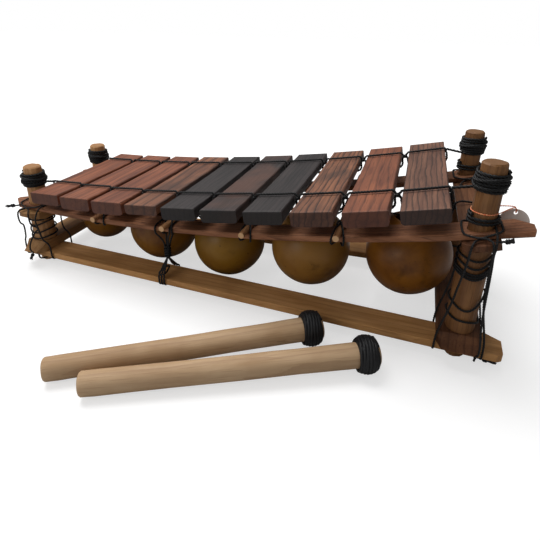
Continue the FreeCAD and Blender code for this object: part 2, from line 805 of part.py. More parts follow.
def make_corner_lashing(row, end):
    """Rings round the post's block, two loops that hold rails and cross-pieces, and the base wrap."""
    at, depth = POST_AT[end], post_line(row, POST_AT[end])
    cord = size("cord")
    flat = size("post_block") / 2
    step = flat * math.tan(math.radians(22.5))
    ring = [(flat, -step), (flat, step), (step, flat), (-step, flat), (-flat, step), (-flat, -step), (-step, -flat),
            (step, -flat)]
    shoulder = shoulder_height(end) - flat * math.tan(math.radians(rail_slope(at))) - cord
    levels = [LOW_SEAT + cord, (LOW_SEAT + shoulder) / 2, shoulder]
    solids = []
    for level in levels:
        solids.append(corded(ring, facing(V(at, depth, level), V(1, 0, 0), V(0, 1, 0))))
    wide = max(size("low_cross_width_" + end), size("up_cross_width")) / 2 + size("strand_out")
    low_half, top_half = size("low_rail_width") / 2, size("top_rail_width") / 2
    for across in (-wide, wide):
        crossing = at + across
        middle_low = post_line(row, crossing) - depth
        slant = cord * abs(math.tan(math.radians(rail_slope(crossing))))
        high = max(rail_top(crossing - cord), rail_top(crossing + cord)) + slant
        outline = hull([(middle_low - low_half - 1, size("foot_length")), (middle_low + low_half + 1, size("foot_length")),
                        (middle_low - low_half - 1, size("foot_length") + size("low_rail_thick")),
                        (middle_low + low_half + 1, size("foot_length") + size("low_rail_thick")),
                        (middle_low - top_half - 1, high), (middle_low + top_half + 1, high)])
        solids.append(corded(outline, facing(V(crossing, depth, 0), V(0, 1, 0), UP)))
    if end == "right":
        wound, turns, pitch = size("wound_cord"), size("wrap_turns"), size("winding_pitch")
        reach = size("post_head") / 2 + size("cord_gap") + wound / 2
        seat = rail_top(at + reach + wound / 2) + size("cord_gap") + wound / 2
        edges, foot, top = winding_edges(V(at, depth, 0), lambda share: reach, 0.0, 1, turns, pitch, seat)
        self_gap(edges, wound, "base wrap %s" % row)
        path = [straight(foot[0] - foot[1] * wound, foot[1], wound)] + edges + [straight(top[0], top[1], wound)]
        solids.append(tube(path, foot[0] - foot[1] * wound, foot[1], wound))
    feature("corner_lashing_%s_%s" % (row, end), solids)


for row, end in CORNERS:
    make_corner_lashing(row, end)

# Cord: middle lashings, stick lashings and gourd ties

MIDDLE_AT = -56.0


def make_middle_lashing(row):
    """A loop round each rail, drawn together into one bound bundle between them."""
    cord = size("cord")
    depth = post_line(row, MIDDLE_AT)
    low, low_top = size("foot_length"), size("foot_length") + size("low_rail_thick")
    low_half, top_half = size("low_rail_width") / 2 + 0.5, size("top_rail_width") / 2 + 0.5
    over = max(rail_top(MIDDLE_AT - cord), rail_top(MIDDLE_AT + cord))
    under = min(rail_under(MIDDLE_AT - cord), rail_under(MIDDLE_AT + cord))
    knot_low, knot_high = low_top + 0.42 * (under - low_top), low_top + 0.72 * (under - low_top)
    plane = facing(V(MIDDLE_AT, depth, 0), V(0, 1, 0), UP)
    lower = hull([(-low_half, low), (low_half, low), (-low_half, low_top), (low_half, low_top), (0, knot_low)])
    upper = hull([(-top_half, over), (top_half, over), (-top_half, under), (top_half, under), (0, knot_high)])
    bundle = Part.makeCylinder(1.5 * cord, knot_high - knot_low + 2 * cord, V(MIDDLE_AT, depth, knot_low - cord))
    whole = corded(lower, plane).fuse([corded(upper, plane), bundle])
    feature("middle_lashing_" + row, [whole.removeSplitter()])


for row in ("front", "back"):
    make_middle_lashing(row)

# The back ones lean the other way, which keeps them clear of the second bar's cord.
LASHING_LEAN = {"front": math.radians(35), "back": -math.radians(35)}


def stick_lashing_outline(at, lean):
    """Round a rail and over the stick on it, cut by an upright plane that leans across the rail."""
    cord = size("cord")
    half = size("top_rail_width") / 2 / math.cos(lean) + 0.8 * cord
    radius = size("stick_width") / 2 / math.cos(math.radians(15))
    spread = cord / 2 / math.tan(abs(lean))
    corners = []
    for side in (-1, 1):
        edge = at + side * half * math.sin(lean)
        corners.append((side * half, min(rail_under(edge - cord), rail_under(edge + cord))))
        corners.append((side * half, max(rail_top(edge - cord), rail_top(edge + cord))))
        for degrees in (30, 60, 90):
            angle = math.radians(degrees)
            along = radius * math.cos(angle) / math.sin(abs(lean)) + spread
            corners.append((side * along, stick_level(at) + radius * math.sin(angle)))
    return hull(corners)


lashings = []
for at in stick_places:
    for row, lean in LASHING_LEAN.items():
        across = V(math.sin(lean), math.cos(lean), 0)
        lashings.append(corded(stick_lashing_outline(at, lean), facing(V(at, post_line(row, at), 0), across, UP)))
feature("stick_lashings", lashings)


def carrier(at):
    """Corners, across and up, of the stick or cross-piece at a place."""
    if at in stick_places:
        half = size("stick_width") / 2
        level = stick_level(at)
        return block(at - half, at + half, level - half, level + half)
    half, thick = size("up_cross_width") / 2, size("up_cross_thick") + size("seat_gap")
    turn = tilt(rail_slope(at))
    corners = [turn.multVec(V(a, 0, b)) for a in (-half, half) for b in (-thick, 0)]
    return [(at + p.x, rail_under(at) + p.z) for p in corners]


ties = []
carriers = [POST_AT["left"]] + stick_places + [POST_AT["right"]]
for number, (across, depth, radius, low, rim) in enumerate(GOURDS):
    for side, at in ((-1, carriers[number]), (1, carriers[number + 1])):
        up = rim - low - radius
        hole = up - size("tie_below_rim")
        inside = radius - size("gourd_wall")
        half = size("cord") / 2 + size("cord_gap")
        reaches = [math.sqrt(radius ** 2 - hole ** 2) + 0.5, math.sqrt(inside ** 2 - up ** 2) - 0.7]
        wall = [(across + side * reach, low + radius + hole + half) for reach in reaches]
        wall += [(across + side * reach, rim + 0.5) for reach in reaches]
        ties.append(corded(hull(wall + carrier(at)), facing(V(0, depth, 0), V(1, 0, 0), UP)))
feature("gourd_ties", ties)

# Mallets


def make_mallet(name, length_alias, butt_x, butt_y, degrees):
    """A turned handle, its end a little flared, inside a head of wound rubber cord."""
    length = size(length_alias)
    head_mid = length - size("head_length") / 2 - 1
    rise = (size("head_width") - size("handle_butt")) / 2 - size("head_cord") / 10
    pitch = math.degrees(math.asin(rise / head_mid))
    turn = FreeCAD.Rotation(UP, degrees).multiply(FreeCAD.Rotation(V(0, 1, 0), -pitch))
    where = FreeCAD.Placement(V(butt_x, butt_y, size("handle_butt") / 2 + 0.05), turn)
    body = new_body(name + "_handle")
    butt, end = size("handle_butt") / 2, size("handle_end") / 2
    flare = 0.72 * length
    outline = [(0, 0), (0, butt), (flare, butt + 0.1), ((flare + length) / 2, butt + 0.35 * (end - butt)),
               (length, end), (length, 0)]
    drawn = sketch(body, body.Name + "_half_section", "XY_Plane", polygon(outline))
    made = body.newObject("PartDesign::Revolution", body.Name + "_turned")
    made.Profile = drawn
    made.ReferenceAxis = (drawn, ["H_Axis"])
    made.Angle = 360
    round_edges(body, "$edge_round", lambda e: e.BoundBox.XLength < 1e-6 and abs(e.Curve.Radius - butt) < 1e-6)
    keep(body, body.Name, where)

    wound, turns = size("head_cord"), size("head_turns")
    long, full = size("head_length"), size("head_width") / 2
    bore = end + 0.2
    crown = 2.4

    def outer(share):
        return full - wound / 2 - crown * (2 * share - 1) ** 2

    pitch_run = (long - wound) / turns
    shell = [V(long, bore, 0), V(0, bore, 0), V(0, outer(0) - wound / 2 - 0.3, 0)]
    top = [shell[2], V(long / 2, full - wound - 0.3, 0), V(long, outer(1) - wound / 2 - 0.3, 0)]
    ring = [Part.LineSegment(shell[0], shell[1]), Part.LineSegment(shell[1], shell[2]), Part.Arc(*top),
            Part.LineSegment(top[2], shell[0])]
    core = Part.Face(Part.Wire([c.toShape() for c in ring])).revolve(V(0, 0, 0), V(1, 0, 0), 360)
    edges, foot, top_end = winding_edges(V(0, 0, 0), outer, 0.0, 1, turns, pitch_run, wound / 2)
    self_gap(edges, wound, name + " head")
    path = [straight(foot[0] - foot[1] * wound, foot[1], wound)] + edges + [straight(top_end[0], top_end[1], wound)]
    wrapped = tube(path, foot[0] - foot[1] * wound, foot[1], wound)
    wrapped.Placement = FreeCAD.Placement(V(0, 0, 0), FreeCAD.Rotation(V(0, 1, 0), 90))
    shift = FreeCAD.Placement(V(length - long - 1, 0, 0), FreeCAD.Rotation())
    for solid in (core, wrapped):
        solid.Placement = shift.multiply(solid.Placement)
    floor = Part.makeBox(4 * full, 4 * full, full)
    under = where.multVec(V(head_mid, 0, 0)) + V(-2 * full, -2 * full, 0)
    under.z = -full
    floor.Placement = where.inverse().multiply(FreeCAD.Placement(under, FreeCAD.Rotation()))
    feature(name + "_head", [core, wrapped.cut(floor).Solids[0]], where)


make_mallet("mallet_front", "front_mallet_length", *FRONT_MALLET)
make_mallet("mallet_rear", "rear_mallet_length", *REAR_MALLET)

# Hang tag, a bare disc on a loop of string round the bass-end front post

def make_tag():
    """A round card behind the end of the front top rail, hung from the post by its hole."""
    body = new_body("hang_tag")
    radius, thick, string = size("tag_width") / 2, size("tag_thick"), size("tag_string")
    at, depth = POST_AT["right"], post_line("front", POST_AT["right"])
    hole = V(0, radius - size("tag_hole"), 0)
    curves = [Part.Circle(V(0, 0, 0), UP, radius), Part.Circle(hole, UP, size("tag_hole") / 2)]
    drawn = sketch(body, body.Name + "_face", "XZ_Plane", curves)
    tie_radius(drawn, 0, "$tag_width / 2")
    tie_radius(drawn, 1, "$tag_hole / 2")
    pad(body, drawn, "$tag_thick", both_ways=True)
    back = depth + size("top_rail_width") / 2 + size("cord") + size("tag_behind")
    centre = V(at + size("tag_beside"), back, size("tag_height"))
    keep(body, body.Name, FreeCAD.Placement(centre, FreeCAD.Rotation()))

    reach = size("post_head") / 2 / math.cos(math.radians(11.25))
    level = centre.z + radius + 2 * string
    rounds = [(reach * math.cos(a), reach * math.sin(a)) for a in [math.radians(22.5 * i) for i in range(16)]]
    tip = (centre.x - at, centre.y - depth)
    post_loop = corded(hull(rounds + [tip]), facing(V(at, depth, level), V(1, 0, 0), V(0, 1, 0)), string)
    eye = hole.y + size("tag_hole") / 2 - 0.3
    card = block(-thick / 2, thick / 2, eye, radius)
    card_loop = corded(hull(card + [(0, level - centre.z)]), facing(centre, V(0, 1, 0), UP), string)
    feature("hang_tag_string", [post_loop.fuse(card_loop).removeSplitter().Solids[0]])


make_tag()

# The middle of the footprint becomes the origin.

doc.recompute()
reach = FreeCAD.BoundBox()
for piece in pieces:
    reach.add(piece.Shape.optimalBoundingBox(False, False))
to_origin = V(-(reach.XMin + reach.XMax) / 2, -(reach.YMin + reach.YMax) / 2, 0)
for piece in pieces:
    piece.Placement.Base = piece.Placement.Base + to_origin
doc.recompute()

for item in doc.Objects:
    if "Invalid" in item.State or "Error" in item.State:
        raise SystemExit("%s did not build: %s" % (item.Label, item.State))
for piece in pieces:
    if piece.Shape.isNull() or not piece.Shape.isValid():
        raise SystemExit("%s has no valid shape" % piece.Label)

os.makedirs("parts", exist_ok=True)
for piece in pieces:
    piece.Shape.exportStep("parts/%s.step" % piece.Label)

print("%d pieces, origin moved by %.3f, %.3f" % (len(pieces), to_origin.x, to_origin.y))
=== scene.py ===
"""Looks of a ten-bar balafon: dressed timber, calabashes, twisted black cord and a pair of mallets."""

import logging
import math
import random
from dataclasses import dataclass, field
from enum import Enum

import bpy
import bmesh
from mathutils import Matrix, Vector


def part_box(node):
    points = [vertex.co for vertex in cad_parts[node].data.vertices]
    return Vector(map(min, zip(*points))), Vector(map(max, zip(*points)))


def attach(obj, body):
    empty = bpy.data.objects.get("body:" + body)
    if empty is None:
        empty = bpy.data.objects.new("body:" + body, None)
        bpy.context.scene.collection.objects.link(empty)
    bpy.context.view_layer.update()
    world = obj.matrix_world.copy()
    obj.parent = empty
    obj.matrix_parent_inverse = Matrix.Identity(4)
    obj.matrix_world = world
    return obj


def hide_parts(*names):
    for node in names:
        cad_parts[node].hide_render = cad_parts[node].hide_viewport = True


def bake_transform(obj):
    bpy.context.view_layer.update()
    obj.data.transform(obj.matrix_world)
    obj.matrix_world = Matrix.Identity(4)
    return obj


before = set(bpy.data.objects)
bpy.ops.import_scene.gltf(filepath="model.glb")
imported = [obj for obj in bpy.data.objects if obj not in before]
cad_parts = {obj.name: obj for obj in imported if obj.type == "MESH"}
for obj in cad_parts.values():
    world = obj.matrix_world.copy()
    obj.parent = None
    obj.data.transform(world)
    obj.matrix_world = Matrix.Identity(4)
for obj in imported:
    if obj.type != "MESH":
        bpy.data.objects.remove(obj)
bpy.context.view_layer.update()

logging.basicConfig(level=logging.INFO, format="%(message)s")
log = logging.getLogger("balafon")


class Row(Enum):
    """The two long sides of the frame."""

    FRONT = -1
    BACK = 1

    @property
    def word(self) -> str:
        """The side's name as the nodes spell it."""
        return self.name.lower()


class End(Enum):
    """The two short sides of the frame."""

    LEFT = -1
    RIGHT = 1

    @property
    def word(self) -> str:
        """The end's name as the nodes spell it."""
        return self.name.lower()


class Grain(Enum):
    """The way that the fibres of a piece of wood run."""

    ACROSS_ROW = (0.0, 0.0, 90.0)
    ALONG_ROW = (0.0, 0.0, 0.0)
    UPRIGHT = (0.0, 90.0, 0.0)
    MALLET_FRONT = (0.0, 0.0, -26.0)
    MALLET_REAR = (0.0, 0.0, -31.0)


@dataclass(frozen=True)
class Bar:
    """Where one bar lies: its number from the treble, size and place, in millimetres."""

    number: int
    width: float
    thick: float
    front: float
    back: float
    at: float

    @property
    def node(self) -> str:
        """The name of the bar's CAD node."""
        return f"key_{self.number:02d}"

    @property
    def body(self) -> str:
        """The name of the body that the bar moves with."""
        return f"{self.node}_bar"


@dataclass(frozen=True)
class Layout:
    """The sizes that the frame, bars and cords share, in millimetres before the origin's shift."""

    shift: tuple[float, float] = (-9.636, 68.566)
    post_at: tuple[float, float] = (-243.0, 252.99)
    half_depth: tuple[float, float] = (60.0, 78.0)
    post_heights: tuple[float, float, float, float] = (124.0, 120.0, 190.0, 181.0)
    post_head: float = 21.0
    post_block: float = 26.0
    post_foot: float = 18.0
    foot_length: float = 10.0
    low_rail_width: float = 32.0
    low_rail_thick: float = 8.0
    low_cross_thick: float = 12.0
    top_rail_width: float = 28.0
    top_rail_thick: float = 6.0
    up_cross_thick: float = 11.0
    rail_bow: tuple[float, float, float] = (-199.0, 71.0, 1884.0)
    bar_bow: tuple[float, float, float] = (-283.0, 100.9, 2262.0)
    thicknesses: tuple[float, ...] = (13.5, 14.5, 14.5, 11.0, 13.5, 13.5, 13.5, 14.5, 14.5, 13.0)
    cord_front: tuple[float, float] = (47.5, 1.85)
    cord_back: tuple[float, float] = (57.5, 1.55)
    stick_width: float = 6.5

    def world(self, x: float, y: float, z: float) -> Vector:
        """A place of the instrument as a point of the scene, in metres."""
        return Vector(((x + self.shift[0]) / 1000, (y + self.shift[1]) / 1000, z / 1000))

    @staticmethod
    def bowed(at: float, bow: tuple[float, float, float]) -> float:
        """The height of a bowed line at a place along the row."""
        low_at, low, radius = bow
        return low + radius - math.sqrt(radius**2 - (at - low_at) ** 2)

    @staticmethod
    def slope(at: float, bow: tuple[float, float, float]) -> float:
        """The angle, in radians, at which a bowed line rises to the right."""
        return math.asin((at - bow[0]) / bow[2])

    def rail_under(self, at: float) -> float:
        """The height of the upper rails' underside."""
        return self.bowed(at, self.rail_bow)

    def rail_top(self, at: float) -> float:
        """The height of the upper rails' upper side."""
        return self.rail_under(at) + self.top_rail_thick

    def bar_top(self, at: float) -> float:
        """The height of the bars' playing side."""
        return self.bowed(at, self.bar_bow)

    def post_x(self, end: End) -> float:
        """How far along the row an end's posts stand."""
        return self.post_at[0] if end is End.LEFT else self.post_at[1]

    def post_height(self, row: Row, end: End) -> float:
        """How tall a post is."""
        place = (0 if end is End.LEFT else 2) + (0 if row is Row.FRONT else 1)
        return self.post_heights[place]

    def post_line(self, row: Row, at: float) -> float:
        """Where the line through a row's two posts lies, front to back."""
        share = (at - self.post_at[0]) / (self.post_at[1] - self.post_at[0])
        return row.value * (self.half_depth[0] + share * (self.half_depth[1] - self.half_depth[0]))

    def cord_line(self, row: Row, number: int) -> float:
        """Where a row's cord crosses a bar, front to back; bars count from 1."""
        if row is Row.FRONT:
            return -self.cord_front[0] - (number - 1) * self.cord_front[1]
        return self.cord_back[0] + (number - 1) * self.cord_back[1]

    def bars(self) -> list[Bar]:
        """The ten bars from treble to bass."""
        made = []
        at = -206.0
        for index, thick in enumerate(self.thicknesses):
            width = 38.0 + index * 0.15
            if index:
                at += width - 0.075 + 6.0 + (index - 1) * 0.24
            made.append(Bar(index + 1, width, thick, -86.5 - 2.7 * index, 87.9 + 2.65 * index, at))
        return made

    def bar_place(self, bar: Bar) -> Matrix:
        """The bar's own frame: across, along and up from the middle of its playing side."""
        turn = Matrix.Rotation(-self.slope(bar.at, self.bar_bow), 4, "Y")
        return Matrix.Translation(self.world(bar.at, 0, self.bar_top(bar.at))) @ turn

    def gap_beside(self, left: Bar, right: Bar) -> float:
        """The gap between two neighbouring bars, measured along the row's slope."""
        slope = (self.slope(left.at, self.bar_bow) + self.slope(right.at, self.bar_bow)) / 2
        return (right.at - left.at) / math.cos(slope) - (left.width + right.width) / 2

    def stick_places(self) -> list[float]:
        """Where the four sticks lie along the row."""
        bars = self.bars()
        places = []
        for left, right in ((1, 2), (3, 4), (5, 6), (7, 8)):
            a = bars[left].at + bars[left].width / 2
            b = bars[right].at - bars[right].width / 2
            places.append((a + b) / 2)
        return places


LAYOUT = Layout()


# Shader groups


class ShaderGroup:
    """A node group with named sockets, built once and used by several materials."""

    built: dict[str, bpy.types.NodeTree] = {}

    def __init__(self, name: str, inputs: list[tuple[str, str, object]], outputs: list[tuple[str, str]]) -> None:
        """Starts a group.

        Args:
            name: the group's name.
            inputs: name, socket type and default of each input.
            outputs: name and socket type of each output.
        """
        self.tree = bpy.data.node_groups.new(name, "ShaderNodeTree")
        for label, kind, default in inputs:
            made = self.tree.interface.new_socket(label, in_out="INPUT", socket_type=kind)
            if default is not None:
                made.default_value = default
        for label, kind in outputs:
            self.tree.interface.new_socket(label, in_out="OUTPUT", socket_type=kind)
        self.given = self.tree.nodes.new("NodeGroupInput").outputs
        self.result = self.tree.nodes.new("NodeGroupOutput").inputs
        ShaderGroup.built[name] = self.tree

    def node(self, kind: str, **settings: object) -> bpy.types.Node:
        """A new node of the group with its settings made."""
        return add_node(self.tree, kind, **settings)

    def link(self, source: bpy.types.NodeSocket, target: bpy.types.NodeSocket) -> None:
        """Joins two sockets of the group."""
        self.tree.links.new(source, target)


def add_node(tree: bpy.types.NodeTree, kind: str, **settings: object) -> bpy.types.Node:
    """Adds a shader node.

    Args:
        tree: where it goes.
        kind: the node's type without its ShaderNode prefix.
        settings: properties to set on it.

    Returns:
        The new node.
    """
    made = tree.nodes.new("ShaderNode" + kind)
    for name, value in settings.items():
        setattr(made, name, value)
    return made


def wood_group() -> bpy.types.NodeTree:
    """The grain of sawn timber: broad figure, dark veins and fine pores that run along X."""
    if "wood_grain" in ShaderGroup.built:
        return ShaderGroup.built["wood_grain"]
    colour, number = "NodeSocketColor", "NodeSocketFloat"
    group = ShaderGroup(
        "wood_grain",
        [("Vector", "NodeSocketVector", None), ("Light", colour, None), ("Dark", colour, None),
         ("Vein", colour, None), ("Vein Amount", number, 0.5), ("Vein Scale", number, 1.0),
         ("Waviness", number, 1.0), ("Pores", number, 0.5)],
        [("Color", colour), ("Height", number), ("Roughness", number)],
    )
    stretch = group.node("Mapping")
    stretch.inputs["Scale"].default_value = (0.11, 1.0, 1.0)
    group.link(group.given["Vector"], stretch.inputs["Vector"])

    figure = group.node("TexNoise")
    figure.inputs["Scale"].default_value = 70.0
    figure.inputs["Detail"].default_value = 5.0
    figure.inputs["Roughness"].default_value = 0.6
    group.link(stretch.outputs["Vector"], figure.inputs["Vector"])
    group.link(group.given["Waviness"], figure.inputs["Distortion"])

    blend = group.node("Mix", data_type="RGBA")
    contrast = group.node("MapRange")
    contrast.inputs["From Min"].default_value = 0.34
    contrast.inputs["From Max"].default_value = 0.66
    group.link(figure.outputs["Fac"], contrast.inputs["Value"])
    group.link(contrast.outputs["Result"], blend.inputs["Factor"])
    group.link(group.given["Dark"], blend.inputs["A"])
    group.link(group.given["Light"], blend.inputs["B"])

    swirl = group.node("Mapping")
    swirl.inputs["Scale"].default_value = (0.16, 1.0, 0.75)
    swirl.inputs["Location"].default_value = (0.31, 0.07, 0.11)
    group.link(group.given["Vector"], swirl.inputs["Vector"])
    vein_size = group.node("Math", operation="MULTIPLY")
    vein_size.inputs[1].default_value = 46.0
    group.link(group.given["Vein Scale"], vein_size.inputs[0])
    veins = group.node("TexWave", wave_type="BANDS", bands_direction="Y", wave_profile="SAW")
    veins.inputs["Detail"].default_value = 4.0
    veins.inputs["Detail Scale"].default_value = 1.6
    veins.inputs["Distortion"].default_value = 5.0
    group.link(swirl.outputs["Vector"], veins.inputs["Vector"])
    group.link(vein_size.outputs["Value"], veins.inputs["Scale"])
    thin = group.node("MapRange", interpolation_type="SMOOTHSTEP")
    thin.inputs["From Min"].default_value = 0.62
    thin.inputs["From Max"].default_value = 1.0
    group.link(veins.outputs["Fac"], thin.inputs["Value"])
    share = group.node("Math", operation="MULTIPLY")
    group.link(thin.outputs["Result"], share.inputs[0])
    group.link(group.given["Vein Amount"], share.inputs[1])
    veined = group.node("Mix", data_type="RGBA")
    group.link(share.outputs["Value"], veined.inputs["Factor"])
    group.link(blend.outputs["Result"], veined.inputs["A"])
    group.link(group.given["Vein"], veined.inputs["B"])

    fine = group.node("Mapping")
    fine.inputs["Scale"].default_value = (0.03, 1.0, 1.0)
    group.link(group.given["Vector"], fine.inputs["Vector"])
    fibre = group.node("TexNoise")
    fibre.inputs["Scale"].default_value = 900.0
    fibre.inputs["Detail"].default_value = 3.0
    group.link(fine.outputs["Vector"], fibre.inputs["Vector"])
    pore = group.node("MapRange", interpolation_type="SMOOTHSTEP")
    pore.inputs["From Min"].default_value = 0.56
    pore.inputs["From Max"].default_value = 0.7
    group.link(fibre.outputs["Fac"], pore.inputs["Value"])
    pore_share = group.node("Math", operation="MULTIPLY")
    group.link(pore.outputs["Result"], pore_share.inputs[0])
    group.link(group.given["Pores"], pore_share.inputs[1])
    pored = group.node("Mix", data_type="RGBA")
    group.link(pore_share.outputs["Value"], pored.inputs["Factor"])
    group.link(veined.outputs["Result"], pored.inputs["A"])
    group.link(group.given["Vein"], pored.inputs["B"])
    group.link(pored.outputs["Result"], group.result["Color"])

    height = group.node("Math", operation="SUBTRACT")
    group.link(fibre.outputs["Fac"], height.inputs[0])
    group.link(share.outputs["Value"], height.inputs[1])
    group.link(height.outputs["Value"], group.result["Height"])
    rough = group.node("MapRange")
    rough.inputs["To Min"].default_value = 0.42
    rough.inputs["To Max"].default_value = 0.72
    group.link(fibre.outputs["Fac"], rough.inputs["Value"])
    group.link(rough.outputs["Result"], group.result["Roughness"])
    return group.tree


def stain_group() -> bpy.types.NodeTree:
    """Uneven age and handling: soft clouds of a second colour over the first."""
    if "stains" in ShaderGroup.built:
        return ShaderGroup.built["stains"]
    colour, number = "NodeSocketColor", "NodeSocketFloat"
    group = ShaderGroup(
        "stains",
        [("Vector", "NodeSocketVector", None), ("Color", colour, None), ("Stain", colour, None),
         ("Amount", number, 0.5), ("Scale", number, 20.0), ("Spread", number, 0.15), ("Level", number, 0.56)],
        [("Color", colour), ("Mask", number)],
    )
    cloud = group.node("TexNoise")
    cloud.inputs["Detail"].default_value = 5.0
    cloud.inputs["Distortion"].default_value = 0.4
    group.link(group.given["Vector"], cloud.inputs["Vector"])
    group.link(group.given["Scale"], cloud.inputs["Scale"])
    edge = group.node("MapRange", interpolation_type="SMOOTHSTEP")
    low = group.node("Math", operation="SUBTRACT")
    high = group.node("Math", operation="ADD")
    group.link(group.given["Level"], low.inputs[0])
    group.link(group.given["Level"], high.inputs[0])
    group.link(group.given["Spread"], low.inputs[1])
    group.link(group.given["Spread"], high.inputs[1])
    group.link(cloud.outputs["Fac"], edge.inputs["Value"])
    group.link(low.outputs["Value"], edge.inputs["From Min"])
    group.link(high.outputs["Value"], edge.inputs["From Max"])
    share = group.node("Math", operation="MULTIPLY")
    group.link(edge.outputs["Result"], share.inputs[0])
    group.link(group.given["Amount"], share.inputs[1])
    mixed = group.node("Mix", data_type="RGBA")
    group.link(share.outputs["Value"], mixed.inputs["Factor"])
    group.link(group.given["Color"], mixed.inputs["A"])
    group.link(group.given["Stain"], mixed.inputs["B"])
    group.link(mixed.outputs["Result"], group.result["Color"])
    group.link(share.outputs["Value"], group.result["Mask"])
    return group.tree


Colour = tuple[float, float, float]


def opaque(colour: Colour) -> tuple[float, float, float, float]:
    """A colour with full alpha."""
    return (*colour, 1.0)


def new_material(name: str) -> tuple[bpy.types.Material, bpy.types.NodeTree, bpy.types.Node]:
    """Starts a material.

    Args:
        name: the material's name.

    Returns:
        The material, its node tree and its Principled shader.
    """
    material = bpy.data.materials.new(name)
    material.use_nodes = True
    tree = material.node_tree
    return material, tree, tree.nodes["Principled BSDF"]


def place_group(tree: bpy.types.NodeTree, group: bpy.types.NodeTree) -> bpy.types.Node:
    """Puts a shader group into a material and returns its node."""
    return add_node(tree, "Group", node_tree=group)


def add_bump(tree: bpy.types.NodeTree, height: bpy.types.NodeSocket, shader: bpy.types.Node,
             strength: float, depth: float) -> None:
    """Feeds a height to the shader's normal.

    Args:
        tree: the material's node tree.
        height: the height's socket.
        shader: the Principled shader.
        strength: the bump's strength.
        depth: its distance in metres.
    """
    bump = add_node(tree, "Bump")
    bump.inputs["Strength"].default_value = strength
    bump.inputs["Distance"].default_value = depth
    tree.links.new(height, bump.inputs["Height"])
    tree.links.new(bump.outputs["Normal"], shader.inputs["Normal"])


@dataclass(frozen=True)
class WoodFinish:
    """One kind of timber, its colours given as they render in plain light; some finishes and end colours also hold
    painted shade.
    """

    name: str
    light: Colour
    dark: Colour
    vein: Colour
    grain: Grain = Grain.ALONG_ROW
    vein_amount: float = 0.5
    vein_scale: float = 1.0
    waviness: float = 0.8
    pores: float = 0.4
    stain: Colour = (0.02, 0.012, 0.01)
    stain_amount: float = 0.0
    stain_scale: float = 18.0
    stain_spread: float = 0.12
    gloss: float = 0.3
    bump: float = 0.25
    seed: float = 0.0
    # Colour of the faces across the grain: end grain, and on the bars' front and back faces also painted shade.
    end: Colour | None = None
    end_amount: float = 0.7

    def material(self) -> bpy.types.Material:
        """Builds the timber's material."""
        material, tree, shader = new_material(self.name)
        place = add_node(tree, "TexCoord")
        turn = add_node(tree, "Mapping")
        turn.inputs["Location"].default_value = (self.seed * 0.37, self.seed * 0.23, self.seed * 0.31)
        turn.inputs["Rotation"].default_value = [math.radians(a) for a in self.grain.value]
        tree.links.new(place.outputs["Object"], turn.inputs["Vector"])
        grain = place_group(tree, wood_group())
        for label, colour in (("Light", self.light), ("Dark", self.dark), ("Vein", self.vein)):
            grain.inputs[label].default_value = opaque(colour)
        grain.inputs["Vein Amount"].default_value = self.vein_amount
        grain.inputs["Vein Scale"].default_value = self.vein_scale
        grain.inputs["Waviness"].default_value = self.waviness
        grain.inputs["Pores"].default_value = self.pores
        tree.links.new(turn.outputs["Vector"], grain.inputs["Vector"])
        colour_out = grain.outputs["Color"]
        if self.stain_amount:
            stains = place_group(tree, stain_group())
            stains.inputs["Stain"].default_value = opaque(self.stain)
            stains.inputs["Amount"].default_value = self.stain_amount
            stains.inputs["Scale"].default_value = self.stain_scale
            stains.inputs["Spread"].default_value = self.stain_spread
            tree.links.new(turn.outputs["Vector"], stains.inputs["Vector"])
            tree.links.new(colour_out, stains.inputs["Color"])
            colour_out = stains.outputs["Color"]
        # Faces across the grain take the end colour: end grain, and on the bars' front and back faces also painted
        # shade.
        if self.end is not None:
            facing = add_node(tree, "Mapping", vector_type="VECTOR")
            facing.inputs["Rotation"].default_value = [math.radians(a) for a in self.grain.value]
            tree.links.new(place.outputs["Normal"], facing.inputs["Vector"])
            parts = add_node(tree, "SeparateXYZ")
            tree.links.new(facing.outputs["Vector"], parts.inputs["Vector"])
            either = add_node(tree, "Math", operation="ABSOLUTE")
            tree.links.new(parts.outputs["X"], either.inputs[0])
            end_grain_and_shade = add_node(tree, "MapRange")
            for label, value in (("From Min", 0.45), ("From Max", 0.9), ("To Max", self.end_amount)):
                end_grain_and_shade.inputs[label].default_value = value
            tree.links.new(either.outputs["Value"], end_grain_and_shade.inputs["Value"])
            mixed = add_node(tree, "Mix", data_type="RGBA")
            tree.links.new(end_grain_and_shade.outputs["Result"], mixed.inputs["Factor"])
            tree.links.new(colour_out, mixed.inputs["A"])
            mixed.inputs["B"].default_value = opaque(self.end)
            colour_out = mixed.outputs["Result"]
        tree.links.new(colour_out, shader.inputs["Base Color"])
        tree.links.new(grain.outputs["Roughness"], shader.inputs["Roughness"])
        shader.inputs["Specular IOR Level"].default_value = self.gloss
        add_bump(tree, grain.outputs["Height"], shader, self.bump, 0.0006)
        return material


